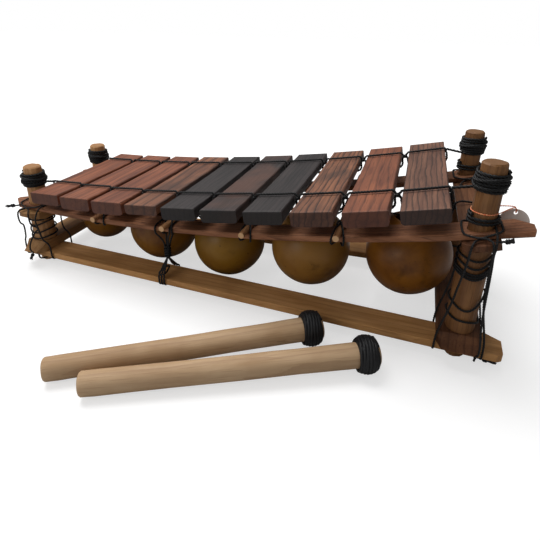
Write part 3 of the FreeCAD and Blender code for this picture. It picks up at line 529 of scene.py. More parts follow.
@dataclass(frozen=True)
class CalabashFinish:
    """The hard skin of a dried gourd, with specks, scars and broad darker clouds."""

    name: str
    warm: Colour
    deep: Colour
    speck: Colour
    seed: float = 0.0

    def material(self) -> bpy.types.Material:
        """Builds the skin's material."""
        material, tree, shader = new_material(self.name)
        place = add_node(tree, "TexCoord")
        move = add_node(tree, "Mapping")
        move.inputs["Location"].default_value = (self.seed, self.seed * 0.7, self.seed * 0.4)
        tree.links.new(place.outputs["Object"], move.inputs["Vector"])
        base = add_node(tree, "RGB")
        base.outputs[0].default_value = opaque(self.warm)
        broad = place_group(tree, stain_group())
        broad.inputs["Stain"].default_value = opaque(self.deep)
        broad.inputs["Amount"].default_value = 0.9
        broad.inputs["Scale"].default_value = 19.0
        broad.inputs["Spread"].default_value = 0.2
        specks = place_group(tree, stain_group())
        specks.inputs["Stain"].default_value = opaque(self.speck)
        specks.inputs["Amount"].default_value = 0.6
        specks.inputs["Scale"].default_value = 240.0
        specks.inputs["Spread"].default_value = 0.03
        specks.inputs["Level"].default_value = 0.7
        scars = place_group(tree, stain_group())
        scars.inputs["Stain"].default_value = opaque(self.speck)
        scars.inputs["Amount"].default_value = 0.5
        scars.inputs["Scale"].default_value = 55.0
        scars.inputs["Spread"].default_value = 0.12
        scars.inputs["Level"].default_value = 0.68
        for group in (broad, specks, scars):
            tree.links.new(move.outputs["Vector"], group.inputs["Vector"])
        tree.links.new(base.outputs[0], broad.inputs["Color"])
        tree.links.new(broad.outputs["Color"], scars.inputs["Color"])
        tree.links.new(scars.outputs["Color"], specks.inputs["Color"])
        tree.links.new(specks.outputs["Color"], shader.inputs["Base Color"])
        rough = add_node(tree, "MapRange")
        rough.inputs["To Min"].default_value = 0.34
        rough.inputs["To Max"].default_value = 0.55
        tree.links.new(broad.outputs["Mask"], rough.inputs["Value"])
        tree.links.new(rough.outputs["Result"], shader.inputs["Roughness"])
        shader.inputs["Specular IOR Level"].default_value = 0.22
        shader.inputs["Coat Weight"].default_value = 0.08
        shader.inputs["Coat Roughness"].default_value = 0.3
        add_bump(tree, specks.outputs["Mask"], shader, 0.25, 0.0004)
        return material


@dataclass(frozen=True)
class CordFinish:
    """Dark cord or rubber: hairs and dust over a nearly black ground."""

    name: str
    ground: Colour
    dust: Colour
    roughness: float = 0.5
    sheen: float = 0.0
    bump: float = 0.4
    gloss: float = 0.3

    def material(self) -> bpy.types.Material:
        """Builds the cord's material."""
        material, tree, shader = new_material(self.name)
        shader.inputs["Specular IOR Level"].default_value = self.gloss
        place = add_node(tree, "TexCoord")
        base = add_node(tree, "RGB")
        base.outputs[0].default_value = opaque(self.ground)
        dusty = place_group(tree, stain_group())
        dusty.inputs["Stain"].default_value = opaque(self.dust)
        dusty.inputs["Amount"].default_value = 0.6
        dusty.inputs["Scale"].default_value = 900.0
        dusty.inputs["Spread"].default_value = 0.12
        tree.links.new(place.outputs["Object"], dusty.inputs["Vector"])
        tree.links.new(base.outputs[0], dusty.inputs["Color"])
        tree.links.new(dusty.outputs["Color"], shader.inputs["Base Color"])
        shader.inputs["Roughness"].default_value = self.roughness
        shader.inputs["Sheen Weight"].default_value = self.sheen
        hairs = add_node(tree, "TexNoise")
        hairs.inputs["Scale"].default_value = 2600.0
        hairs.inputs["Detail"].default_value = 2.0
        tree.links.new(place.outputs["Object"], hairs.inputs["Vector"])
        add_bump(tree, hairs.outputs["Fac"], shader, self.bump, 0.0003)
        return material


@dataclass(frozen=True)
class CardFinish:
    """Bare printed card, a little worn."""

    name: str
    face: Colour
    worn: Colour

    def material(self) -> bpy.types.Material:
        """Builds the card's material."""
        material, tree, shader = new_material(self.name)
        place = add_node(tree, "TexCoord")
        base = add_node(tree, "RGB")
        base.outputs[0].default_value = opaque(self.face)
        worn = place_group(tree, stain_group())
        worn.inputs["Stain"].default_value = opaque(self.worn)
        worn.inputs["Amount"].default_value = 0.5
        worn.inputs["Scale"].default_value = 160.0
        tree.links.new(place.outputs["Object"], worn.inputs["Vector"])
        tree.links.new(base.outputs[0], worn.inputs["Color"])
        tree.links.new(worn.outputs["Color"], shader.inputs["Base Color"])
        shader.inputs["Roughness"].default_value = 0.7
        add_bump(tree, worn.outputs["Mask"], shader, 0.15, 0.0003)
        return material


BLACK_CORD = CordFinish("black_cord", (0.004, 0.004, 0.0045), (0.014, 0.013, 0.013))
WOUND_RUBBER = CordFinish("wound_rubber", (0.004, 0.004, 0.005), (0.014, 0.014, 0.015), 0.5, 0.0, 0.6, 0.35)
TAG_STRING = CordFinish("tag_string", (0.72, 0.16, 0.06), (0.85, 0.62, 0.3), 0.8, 0.2, 0.5, 0.3)
TAG_CARD = CardFinish("tag_card", (0.6, 0.5, 0.44), (0.74, 0.66, 0.6))


# Modelling helpers


def deselect_all() -> None:
    """Leaves object mode tidy, with nothing selected."""
    if bpy.context.object is not None and bpy.context.object.mode != "OBJECT":
        bpy.ops.object.mode_set(mode="OBJECT")
    bpy.ops.object.select_all(action="DESELECT")


def make_active(piece: bpy.types.Object) -> None:
    """Makes one piece the only selected and active one."""
    deselect_all()
    piece.select_set(True)
    bpy.context.view_layer.objects.active = piece


def apply_place(piece: bpy.types.Object) -> None:
    """Moves a piece's place, turn and scale into its mesh."""
    make_active(piece)
    bpy.ops.object.transform_apply(location=True, rotation=True, scale=True)


def seat(piece: bpy.types.Object, name: str, body: str, material: bpy.types.Material,
         nodes: tuple[str, ...] = ()) -> bpy.types.Object:
    """Names and dresses a piece and fixes it to its body.

    Args:
        piece: the finished piece.
        name: its name.
        body: the CAD body that it rides on.
        material: its material.
        nodes: the CAD nodes that it stands for.

    Returns:
        The same piece.
    """
    piece.name = name
    piece.data.name = name
    piece.data.materials.clear()
    piece.data.materials.append(material)
    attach(piece, body)
    if nodes:
        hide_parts(*nodes)
    log.info("%s: %d faces", name, len(piece.data.polygons))
    return piece


def select_faces(piece: bpy.types.Object, wanted) -> None:
    """In edit mode, selects only the faces that a test on a face picks out."""
    mesh = bmesh.from_edit_mesh(piece.data)
    for face in mesh.faces:
        face.select_set(False)
    for face in mesh.faces:
        if wanted(face):
            face.select_set(True)
    bmesh.update_edit_mesh(piece.data)


def turned(profile: list[tuple[float, float]], segments: int) -> bpy.types.Object:
    """Extrudes a round stick upwards, ring by ring.

    Args:
        profile: height and radius of each ring, in metres, from the bottom.
        segments: sides of the round.

    Returns:
        The stick, standing on its first ring's height at the origin.
    """
    deselect_all()
    first_height, first_radius = profile[0]
    bpy.ops.mesh.primitive_circle_add(vertices=segments, radius=first_radius, fill_type="NGON",
                                      location=(0, 0, first_height))
    piece = bpy.context.object
    apply_place(piece)
    bpy.ops.object.mode_set(mode="EDIT")
    bpy.ops.mesh.select_mode(type="FACE")
    bpy.ops.mesh.select_all(action="SELECT")
    bpy.ops.mesh.flip_normals()
    height, radius = first_height, first_radius
    for next_height, next_radius in profile[1:]:
        bpy.ops.mesh.extrude_region_move(TRANSFORM_OT_translate={"value": (0, 0, next_height - height)})
        factor = next_radius / radius
        if abs(factor - 1) > 1e-9:
            bpy.ops.transform.resize(value=(factor, factor, 1), center_override=(0, 0, next_height))
        height, radius = next_height, next_radius
    bpy.ops.mesh.select_all(action="SELECT")
    bpy.ops.mesh.normals_make_consistent(inside=False)
    bpy.ops.object.mode_set(mode="OBJECT")
    return piece


def roughen(piece: bpy.types.Object, amount: float, grain_size: float, name: str) -> None:
    """Pushes a piece's surface in and out by soft noise, as a knife or growth leaves it.

    Args:
        piece: the piece.
        amount: how far, in metres.
        grain_size: the size of the lumps, in metres.
        name: a name for the noise.
    """
    noise = bpy.data.textures.new(name, "CLOUDS")
    noise.noise_scale = grain_size
    noise.noise_depth = 1
    make_active(piece)
    push = piece.modifiers.new("push", "DISPLACE")
    push.texture = noise
    push.texture_coords = "LOCAL"
    push.strength = amount
    push.mid_level = 0.5
    bpy.ops.object.modifier_apply(modifier=push.name)


def smooth(piece: bpy.types.Object, degrees: float) -> None:
    """Shades a piece smooth where its faces meet at less than an angle."""
    make_active(piece)
    bpy.ops.object.shade_smooth_by_angle(angle=math.radians(degrees))


# Cord


def route(points: list[Vector], closed: bool, order: int = 3, steps: int = 6) -> list[Vector]:
    """The smooth line of a cord through its route's control points.

    Args:
        points: the control points.
        closed: whether the cord runs back into its start.
        order: the order of the spline.
        steps: points read from the spline for each control point.

    Returns:
        Points along the line, in order.
    """
    curve = bpy.data.curves.new("route", "CURVE")
    curve.dimensions = "3D"
    spline = curve.splines.new("NURBS")
    spline.points.add(len(points) - 1)
    for point, place in zip(spline.points, points):
        point.co = (*place, 1.0)
    spline.order_u = order
    spline.use_endpoint_u = not closed
    spline.use_cyclic_u = closed
    spline.resolution_u = steps
    holder = bpy.data.objects.new("route", curve)
    bpy.context.scene.collection.objects.link(holder)
    graph = bpy.context.evaluated_depsgraph_get()
    line_mesh = bpy.data.meshes.new_from_object(holder.evaluated_get(graph))
    line = [v.co.copy() for v in line_mesh.vertices]
    bpy.data.objects.remove(holder)
    bpy.data.curves.remove(curve)
    bpy.data.meshes.remove(line_mesh)
    return line


def even_steps(line: list[Vector], closed: bool, step: float) -> tuple[list[Vector], float]:
    """Points at even steps along a line, and the line's length.

    Args:
        line: the line's points.
        closed: whether it runs back into its start.
        step: the wanted step, in metres.

    Returns:
        The points and the length.
    """
    corners = line + [line[0]] if closed else line
    runs = [0.0]
    for a, b in zip(corners, corners[1:]):
        runs.append(runs[-1] + (b - a).length)
    length = runs[-1]
    count = max(4, round(length / step))
    made = []
    k = 0
    for i in range(count if closed else count + 1):
        want = length * i / count
        while k < len(runs) - 2 and runs[k + 1] < want:
            k += 1
        span = runs[k + 1] - runs[k]
        share = (want - runs[k]) / span if span > 1e-12 else 0.0
        made.append(corners[k].lerp(corners[k + 1], share))
    return made, length


@dataclass(frozen=True)
class Rope:
    """A twisted cord: its radius, strands and lay, in metres."""

    radius: float
    strands: int = 3
    lay: float = 0.0075
    sides: int = 6
    step: float = 0.0012

    def sweep(self, mesh: bmesh.types.BMesh, points: list[Vector], closed: bool, order: int = 3) -> float:
        """Lays the cord's strands along a route into a mesh.

        Args:
            mesh: what the strands are added to.
            points: the route's control points.
            closed: whether the cord runs back into its start.
            order: the order of the route's spline.

        Returns:
            The cord's length in metres.
        """
        line, length = even_steps(route(points, closed, order), closed, self.step)
        count = len(line)
        tangents = []
        for i, point in enumerate(line):
            before = line[i - 1] if closed or i else point
            after = line[(i + 1) % count] if closed or i < count - 1 else point
            tangents.append((after - before).normalized())
        normal = tangents[0].orthogonal().normalized()
        normals = [normal]
        for a, b in zip(tangents, tangents[1:]):
            normal = (a.rotation_difference(b) @ normal).normalized()
            normals.append(normal)
        slip = 0.0
        if closed:
            back = (tangents[-1].rotation_difference(tangents[0]) @ normal).normalized()
            slip = math.atan2(tangents[0].dot(normals[0].cross(back)), normals[0].dot(back))
        twists = length / self.lay
        if closed:
            twists = max(1, round(twists))
        if self.strands == 1:
            thin, off = self.radius, 0.0
        else:
            thin = self.radius * (0.56 if self.strands == 2 else 0.52)
            off = self.radius - thin
        for strand in range(self.strands):
            rings = []
            for i, point in enumerate(line):
                share = i / (count if closed else count - 1)
                angle = 2 * math.pi * (twists * share + strand / self.strands) - slip * share
                across = normals[i]
                other = tangents[i].cross(across)
                centre = point + (across * math.cos(angle) + other * math.sin(angle)) * off
                ring = []
                for side in range(self.sides):
                    turn = 2 * math.pi * side / self.sides - slip * share
                    ring.append(mesh.verts.new(centre + (across * math.cos(turn) + other * math.sin(turn)) * thin))
                rings.append(ring)
            pairs = list(zip(rings, rings[1:]))
            if closed:
                pairs.append((rings[-1], rings[0]))
            for low, high in pairs:
                for side in range(self.sides):
                    ahead = (side + 1) % self.sides
                    face = mesh.faces.new((low[side], low[ahead], high[ahead], high[side]))
                    face.smooth = True
            if not closed:
                mesh.faces.new(list(reversed(rings[0])))
                mesh.faces.new(rings[-1])
        return length


class CordWork:
    """Cords gathered into one piece."""

    def __init__(self) -> None:
        """Starts with no cord."""
        self.mesh = bmesh.new()
        self.length = 0.0

    def lay(self, rope: Rope, points: list[Vector], closed: bool = False, order: int = 3) -> "CordWork":
        """Adds one cord along a route and returns the work."""
        self.length += rope.sweep(self.mesh, points, closed, order)
        return self

    def finish(self, name: str) -> bpy.types.Object:
        """Turns the work into an object."""
        data = bpy.data.meshes.new(name)
        bmesh.ops.recalc_face_normals(self.mesh, faces=self.mesh.faces)
        self.mesh.to_mesh(data)
        self.mesh.free()
        made = bpy.data.objects.new(name, data)
        bpy.context.scene.collection.objects.link(made)
        log.info("%s: %.2f m of cord", name, self.length)
        return made


THIN_CORD = Rope(0.0011)
LINE_CORD = Rope(0.00135, lay=0.0085)
WOUND_CORD = Rope(0.00145, strands=3, lay=0.011)
FINE_STRING = Rope(0.0006, strands=2, lay=0.004, step=0.0008, sides=5)


def helix(centre: Vector, reach, first_angle: float, turns: float, sense: int, low: float,
          pitch: float) -> list[Vector]:
    """Control points of a cord wound upwards round an upright axis.

    Args:
        centre: a point of the axis.
        reach: the winding's radius at a share of its height, in metres.
        first_angle: where it starts, in radians.
        turns: how many turns.
        sense: 1 for anticlockwise as seen from above, -1 for clockwise.
        low: the first point's height.
        pitch: the rise of one turn.

    Returns:
        Twelve points for each turn.
    """
    points = []
    count = int(turns * 12)
    for i in range(count + 1):
        share = i / count
        angle = first_angle + sense * 2 * math.pi * turns * share
        radius = reach(share) / math.cos(math.pi / 12) ** 0.5
        points.append(Vector((centre.x + radius * math.cos(angle), centre.y + radius * math.sin(angle),
                              low + pitch * turns * share)))
    return points


# Bars and the cords that carry them


def rosewood(number: int) -> WoodFinish:
    """The timber of one bar; bars count from 1 at the treble end."""
    # The end colours darken each bar's front and back faces: partly end grain, partly painted shade.
    red = dict(light=(0.26, 0.085, 0.038), dark=(0.115, 0.034, 0.017), vein=(0.03, 0.01, 0.006),
               end=(0.05, 0.018, 0.012))
    black = dict(light=(0.034, 0.025, 0.024), dark=(0.013, 0.01, 0.01), vein=(0.005, 0.004, 0.004),
                 end=(0.008, 0.006, 0.006))
    brown = dict(light=(0.25, 0.1, 0.048), dark=(0.09, 0.033, 0.018), vein=(0.022, 0.009, 0.006),
                 end=(0.035, 0.015, 0.011))
    grey = dict(light=(0.2, 0.092, 0.055), dark=(0.085, 0.036, 0.023), vein=(0.025, 0.013, 0.01),
                end=(0.022, 0.012, 0.01), end_amount=0.85)
    looks = {
        1: dict(**red, vein_amount=0.35, vein_scale=0.7, waviness=0.5),
        2: dict(**red, vein_amount=0.45, vein_scale=0.9, waviness=0.5),
        3: dict(**red, vein_amount=0.5, vein_scale=0.8, waviness=0.8),
        4: dict(**brown, vein_amount=0.75, vein_scale=0.5, waviness=1.2, stain=(0.02, 0.012, 0.01),
                stain_amount=0.75, stain_scale=9.0),
        5: dict(**black, vein_amount=0.7, vein_scale=1.2, waviness=0.6),
        6: dict(**black, vein_amount=0.6, vein_scale=1.0, waviness=0.9, stain=(0.12, 0.05, 0.03),
                stain_amount=0.55, stain_scale=13.0),
        7: dict(**black, vein_amount=0.7, vein_scale=1.3, waviness=0.6),
        8: dict(**brown, vein_amount=0.95, vein_scale=1.1, waviness=1.6, stain=(0.015, 0.01, 0.009),
                stain_amount=0.5, stain_scale=20.0),
        9: dict(**red, vein_amount=0.55, vein_scale=0.9, waviness=0.7),
        10: dict(**grey, vein_amount=0.9, vein_scale=1.4, waviness=1.5),
    }
    return WoodFinish(f"bar_{number:02d}_rosewood", grain=Grain.ACROSS_ROW, pores=0.5, gloss=0.35, bump=0.2,
                      seed=number * 1.7, **looks[number])


@dataclass
class RowOfBars:
    """The ten bars, each dressed in its own piece of rosewood."""

    layout: Layout = LAYOUT
    slots: dict[int, str] = field(default_factory=lambda: {5: "bar_rosewood_black", 6: "bar_rosewood_black",
                                                           7: "bar_rosewood_black", 8: "bar_rosewood_brown",
                                                           10: "bar_rosewood_brown"})

    def dress(self) -> None:
        """Gives every bar its material."""
        for bar in self.layout.bars():
            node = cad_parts[bar.node]
            node.data.materials.clear()
            node.data.materials.append(rosewood(bar.number).material())
            log.info("%s dressed", bar.node)


@dataclass
class BarCords:
    """The two lines of cord that the bars hang on: a loop round each bar, met at a knot in every gap."""

    layout: Layout = LAYOUT
    rope: Rope = LINE_CORD
    clear: float = 0.25

    def loop(self, bar: Bar, row: Row, left_reach: float, right_reach: float) -> list[Vector]:
        """The route of one loop in the bar's own frame, in metres.

        Args:
            bar: the bar.
            row: front or back.
            left_reach: how far the loop goes to the left of the bar's middle, in millimetres.
            right_reach: how far it goes to the right.

        Returns:
            The route's control points.
        """
        half, thick = bar.width / 2, bar.thick
        lift = self.rope.radius * 1000 + self.clear
        y = self.layout.cord_line(row, bar.number)
        skew = 0.9
        over, below = lift, -thick - lift
        near = half + lift
        right_half = [
            (half * 0.45, y + skew * 0.4, over), (half - 2.0, y + skew * 0.8, over),
            (half + 0.3, y + skew, over + 0.35), (right_reach, y + skew * 0.4, -2.6),
            (near + 0.15, y, -4.6), (near, y - skew * 0.3, -thick * 0.55), (near, y, 2.2 - thick),
            (half - 1.6, y, below), (half * 0.4, y, below),
        ]
        left_half = [(-x, 2 * y - along, height) for x, along, height in reversed(right_half)]
        left_half[5] = (-left_reach, y - skew * 0.4, -2.6)
        return [Vector(p) / 1000 for p in right_half + left_half]

    def build(self) -> None:
        """Makes every bar's loops as a left and a right half."""
        bars = self.layout.bars()
        material = BLACK_CORD.material()
        for index, bar in enumerate(bars):
            plain = bar.width / 2 + self.rope.radius * 1000 + self.clear
            left = right = plain
            if index:
                left = bar.width / 2 + self.layout.gap_beside(bars[index - 1], bar) / 2
            if index < len(bars) - 1:
                right = bar.width / 2 + self.layout.gap_beside(bar, bars[index + 1]) / 2
            work = CordWork()
            place = self.layout.bar_place(bar)
            for row in Row:
                route_points = [place @ p for p in self.loop(bar, row, left - 0.4, right - 0.4)]
                work.lay(self.rope, route_points, closed=True)
            whole = work.finish(f"{bar.node}_cords_whole")
            self.split(whole, bar, place, left, right, material)
        self.knots(bars, material)

    def split(self, whole: bpy.types.Object, bar: Bar, place: Matrix, left: float, right: float,
              material: bpy.types.Material) -> None:
        """Cuts a bar's loops at its middle into a left and a right half.

        Args:
            whole: both loops.
            bar: the bar.
            place: the bar's frame.
            left: the gap's middle to the left, in millimetres from the bar's middle.
            right: the same to the right.
            material: the cord's material.
        """
        across = (place.to_3x3() @ Vector((1, 0, 0))).normalized()
        for sign, reach, word in ((-1, left, "left"), (1, right, "right")):
            half = whole.copy()
            half.data = whole.data.copy()
            bpy.context.scene.collection.objects.link(half)
            make_active(half)
            bpy.ops.object.mode_set(mode="EDIT")
            bpy.ops.mesh.select_all(action="SELECT")
            bpy.ops.mesh.bisect(plane_co=place.translation, plane_no=across * sign, use_fill=True,
                                clear_inner=True, clear_outer=False)
            bpy.ops.object.mode_set(mode="OBJECT")
            name = f"{bar.node}_cords_{word}"
            half.name = half.data.name = name
            half.data.materials.append(material)
            bar.body
            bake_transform(half)
            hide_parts(f"{bar.node}_cords")
        bpy.data.objects.remove(whole)

    def knots(self, bars: list[Bar], material: bpy.types.Material) -> None:
        """Ties a knot in every gap of both lines."""
        work = CordWork()
        for left, right in zip(bars, bars[1:]):
            gap = self.layout.gap_beside(left, right)
            place = self.layout.bar_place(left)
            middle = left.width / 2 + gap / 2
            for row in Row:
                y = (self.layout.cord_line(row, left.number) + self.layout.cord_line(row, right.number)) / 2
                for drop, reach in ((2.2, 1.9), (3.7, 1.6)):
                    ring = []
                    for i in range(8):
                        angle = 2 * math.pi * i / 8
                        across = gap * 0.2 * math.cos(angle)
                        ring.append(place @ (Vector((middle + across, y + reach * math.sin(angle),
                                                     0.5 * math.sin(2 * angle) - drop)) / 1000))
                    work.lay(THIN_CORD, ring, closed=True)
        piece = work.finish("gap_knots")
        seat(piece, "gap_knots", "frame", material)


# Frame


@dataclass
class Stakes:
    """The four whittled posts."""

    layout: Layout = LAYOUT
    pale: WoodFinish = WoodFinish("stake_pale", light=(0.58, 0.32, 0.14), dark=(0.4, 0.2, 0.078),
                                  vein=(0.2, 0.085, 0.03), grain=Grain.UPRIGHT, vein_amount=0.35, vein_scale=0.8,
                                  waviness=0.7, pores=0.5, stain=(0.22, 0.095, 0.034), stain_amount=0.4,
                                  stain_scale=30.0, bump=0.5, seed=2.0, end=(0.3, 0.15, 0.06), end_amount=0.85)
    # The right-hand posts' finish: a darker copy of the pale one, partly browner wood and partly painted shade for
    # light falling from the left.
    honey: WoodFinish = WoodFinish("stake_honey", light=(0.24, 0.11, 0.038), dark=(0.15, 0.062, 0.02),
                                   vein=(0.075, 0.03, 0.01), grain=Grain.UPRIGHT, vein_amount=0.35, vein_scale=0.8,
                                   waviness=0.7, pores=0.5, stain=(0.09, 0.035, 0.012), stain_amount=0.4,
                                   stain_scale=30.0, bump=0.5, seed=2.6, end=(0.18, 0.085, 0.032), end_amount=0.85)

    def shoulder(self, end: End) -> float:
        """Height of the post's sloping shoulder at its axis."""
        layout = self.layout
        at = layout.post_x(end)
        slope = layout.slope(at, layout.rail_bow)
        return layout.rail_under(at) - (layout.up_cross_thick + 0.2) / math.cos(slope)

    def build(self) -> None:
        """Makes and seats the posts."""
        layout = self.layout
        # The right-hand posts get the darker finish with painted shade.
        materials = {End.LEFT: self.pale.material(), End.RIGHT: self.honey.material()}
        seat_height = layout.foot_length + layout.low_rail_thick + layout.low_cross_thick
        for row in Row:
            for end in End:
                top = layout.post_height(row, end)
                at = layout.post_x(end)
                shoulder = self.shoulder(end) - 0.3
                slope = layout.slope(at, layout.rail_bow)
                block = layout.post_block / 2
                foot, head = layout.post_foot / 2, layout.post_head / 2
                high = shoulder + block * math.tan(abs(slope)) + 1.0
                base = [(0, foot - 1.3), (1.2, foot - 0.1), (seat_height, foot - 0.1), (seat_height, block * 0.97),
                        (seat_height + 3, block), (seat_height + 0.35 * (high - seat_height), block * 1.006),
                        (seat_height + 0.7 * (high - seat_height), block * 0.985), (high, block * 0.98)]
                neck = shoulder - block * math.tan(abs(slope)) - 2.0
                stem = [(neck, head - 0.2), (top * 0.55 + neck * 0.45, head - 0.05), (top - 6, head - 0.1),
                        (top - 1.4, head - 0.2), (top, head - 1.4)]
                sides = 14 if end is End.LEFT else 16
                parts = []
                for profile in (base, stem):
                    part = turned([(z / 1000, r / 1000) for z, r in profile], sides)
                    part.location = layout.world(at, layout.post_line(row, at), 0)
                    part.rotation_euler = (0, 0, 0.3 + 0.9 * row.value + 0.5 * end.value)
                    apply_place(part)
                    parts.append(part)
                self.slant(parts[0], layout.world(at, layout.post_line(row, at), shoulder), slope)
                deselect_all()
                for part in parts:
                    part.select_set(True)
                bpy.context.view_layer.objects.active = parts[0]
                bpy.ops.object.join()
                piece = parts[0]
                self.whittle(piece)
                smooth(piece, 14)
                seat(piece, f"post_{row.word}_{end.word}_whittled", "frame", materials[end],
                     (f"post_{row.word}_{end.word}",))

    def slant(self, piece: bpy.types.Object, middle: Vector, slope: float) -> None:
        """Cuts a post's block to the slope of the cross-piece that lies on it.

        Args:
            piece: the block.
            middle: a point of the shoulder, on the post's axis.
            slope: the angle at which the shoulder rises to the right, in radians.
        """
        make_active(piece)
        bpy.ops.object.mode_set(mode="EDIT")
        bpy.ops.mesh.select_all(action="SELECT")
        bpy.ops.mesh.bisect(plane_co=middle, plane_no=(-math.sin(slope), 0, math.cos(slope)), use_fill=True,
                            clear_outer=True)
        bpy.ops.object.mode_set(mode="OBJECT")

    def whittle(self, piece: bpy.types.Object) -> None:
        """Leaves the knife's uneven flats on a post."""
        make_active(piece)
        bpy.ops.object.mode_set(mode="EDIT")
        bpy.ops.mesh.select_all(action="SELECT")
        bpy.ops.transform.vertex_random(offset=0.00028, uniform=1.0, normal=0.0, seed=len(piece.name))
        bpy.ops.object.mode_set(mode="OBJECT")


@dataclass
class Timber:
    """The planks, cross-pieces and sticks, which keep their CAD shape."""

    tan: WoodFinish = WoodFinish("plank_tan", light=(0.58, 0.31, 0.125), dark=(0.4, 0.195, 0.066),
                                 vein=(0.2, 0.085, 0.026), vein_amount=0.3, vein_scale=0.9, waviness=0.6, pores=0.35,
                                 stain=(0.24, 0.11, 0.034), stain_amount=0.4, stain_scale=14.0, bump=0.4,
                                 gloss=0.15, seed=3.0)
    walnut: WoodFinish = WoodFinish("plank_walnut", light=(0.34, 0.15, 0.075), dark=(0.15, 0.056, 0.024),
                                    vein=(0.05, 0.019, 0.009), vein_amount=0.5, vein_scale=1.2, waviness=0.7,
                                    pores=0.5, bump=0.35, gloss=0.2, seed=4.0, end=(0.09, 0.035, 0.015))
    # The right-hand cross-pieces' dark colour is painted shade, for where the post blocks and bars shade them.
    dark: WoodFinish = WoodFinish("crosspiece_dark", light=(0.15, 0.062, 0.027), dark=(0.075, 0.029, 0.013),
                                  vein=(0.035, 0.013, 0.007), grain=Grain.ACROSS_ROW, vein_amount=0.5, pores=0.5,
                                  bump=0.35, gloss=0.2, seed=5.0)
    tan_across: WoodFinish = WoodFinish("crosspiece_tan", light=(0.4, 0.22, 0.09), dark=(0.27, 0.135, 0.05),
                                        vein=(0.14, 0.06, 0.02), grain=Grain.ACROSS_ROW, vein_amount=0.3, pores=0.35,
                                        stain=(0.17, 0.08, 0.03), stain_amount=0.35, stain_scale=20.0, bump=0.4,
                                        gloss=0.2, seed=6.0, end=(0.2, 0.095, 0.035), end_amount=0.5)
    stick: WoodFinish = WoodFinish("stick_bark", light=(0.36, 0.17, 0.065), dark=(0.2, 0.085, 0.032),
                                   vein=(0.08, 0.035, 0.014), grain=Grain.ACROSS_ROW, vein_amount=0.5, pores=0.6,
                                   bump=0.5, seed=7.0, end=(0.6, 0.38, 0.2), end_amount=0.75)

    def dress(self) -> None:
        """Gives every plank, cross-piece and stick its material."""
        # The right-hand cross-pieces take the finish with painted shade.
        looks = {
            "bottom_rail_front": self.tan, "bottom_rail_back": self.tan, "top_rail_front": self.walnut,
            "top_rail_back": self.walnut, "bottom_crosspiece_left": self.tan_across,
            "upper_crosspiece_left": self.tan_across, "bottom_crosspiece_right": self.dark,
            "upper_crosspiece_right": self.dark,
        }
        looks.update({f"gourd_stick_{n}": self.stick for n in range(1, 5)})
        made: dict[str, bpy.types.Material] = {}
        for name, finish in looks.items():
            if finish.name not in made:
                made[finish.name] = finish.material()
            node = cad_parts[name]
            node.data.materials.clear()
            node.data.materials.append(made[finish.name])
            log.info("%s dressed in %s", name, finish.name)


@dataclass(frozen=True)
class Gourd:
    """One resonator: middle, outer radius, lowest point and rim, in millimetres."""

    number: int
    across: float
    depth: float
    radius: float
    low: float
    rim: float


@dataclass
class Gourds:
    """The five calabash bowls."""

    layout: Layout = LAYOUT
    wall: float = 3.5
    bowls: tuple[Gourd, ...] = (
        Gourd(1, -190.0, -3.0, 31.0, 14.0, 66.0),
        Gourd(2, -95.0, -15.0, 41.0, 8.5, 70.0),
        Gourd(3, -5.0, -17.0, 42.0, 4.0, 74.5),
        Gourd(4, 94.0, -15.0, 44.0, 11.0, 90.0),
        Gourd(5, 200.0, -7.0, 45.0, 17.0, 103.0),
    )

    def build(self) -> None:
        """Grows each bowl from a sphere, opens it and seats it."""
        for bowl in self.bowls:
            deselect_all()
            centre = self.layout.world(bowl.across, bowl.depth, bowl.low + bowl.radius)
            bpy.ops.mesh.primitive_uv_sphere_add(segments=56, ring_count=34, radius=bowl.radius / 1000,
                                                 location=centre)
            piece = bpy.context.object
            apply_place(piece)
            roughen(piece, 0.0016, 0.045, f"gourd_swell_{bowl.number}")
            bpy.ops.object.mode_set(mode="EDIT")
            bpy.ops.mesh.select_all(action="SELECT")
            bpy.ops.mesh.bisect(plane_co=(centre.x, centre.y, bowl.rim / 1000), plane_no=(0, 0, 1),
                                clear_outer=True, use_fill=False)
            bpy.ops.object.mode_set(mode="OBJECT")
            wall = piece.modifiers.new("wall", "SOLIDIFY")
            wall.thickness = self.wall / 1000
            wall.offset = -1
            bpy.ops.object.modifier_apply(modifier=wall.name)
            rim = piece.modifiers.new("rim", "BEVEL")
            rim.width = 0.0008
            rim.segments = 2
            rim.limit_method = "ANGLE"
            rim.angle_limit = math.radians(50)
            bpy.ops.object.modifier_apply(modifier=rim.name)
            smooth(piece, 40)
            skin = self.skin(bowl.number)
            seat(piece, f"gourd_{bowl.number}_bowl", "frame", skin.material(), (f"gourd_{bowl.number}",))

    @staticmethod
    def skin(number: int) -> CalabashFinish:
        """The skin of one gourd; they ripened differently."""
        warm = {1: (0.2, 0.085, 0.01), 2: (0.22, 0.1, 0.012), 3: (0.24, 0.12, 0.012), 4: (0.28, 0.135, 0.028),
                5: (0.25, 0.095, 0.012)}[number]
        deep = {1: (0.1, 0.034, 0.005), 2: (0.075, 0.014, 0.004), 3: (0.14, 0.058, 0.006),
                4: (0.15, 0.06, 0.01), 5: (0.085, 0.024, 0.004)}[number]
        return CalabashFinish(f"calabash_{number}", warm, deep, (0.03, 0.012, 0.004), seed=number * 0.9)


# Windings and lashings


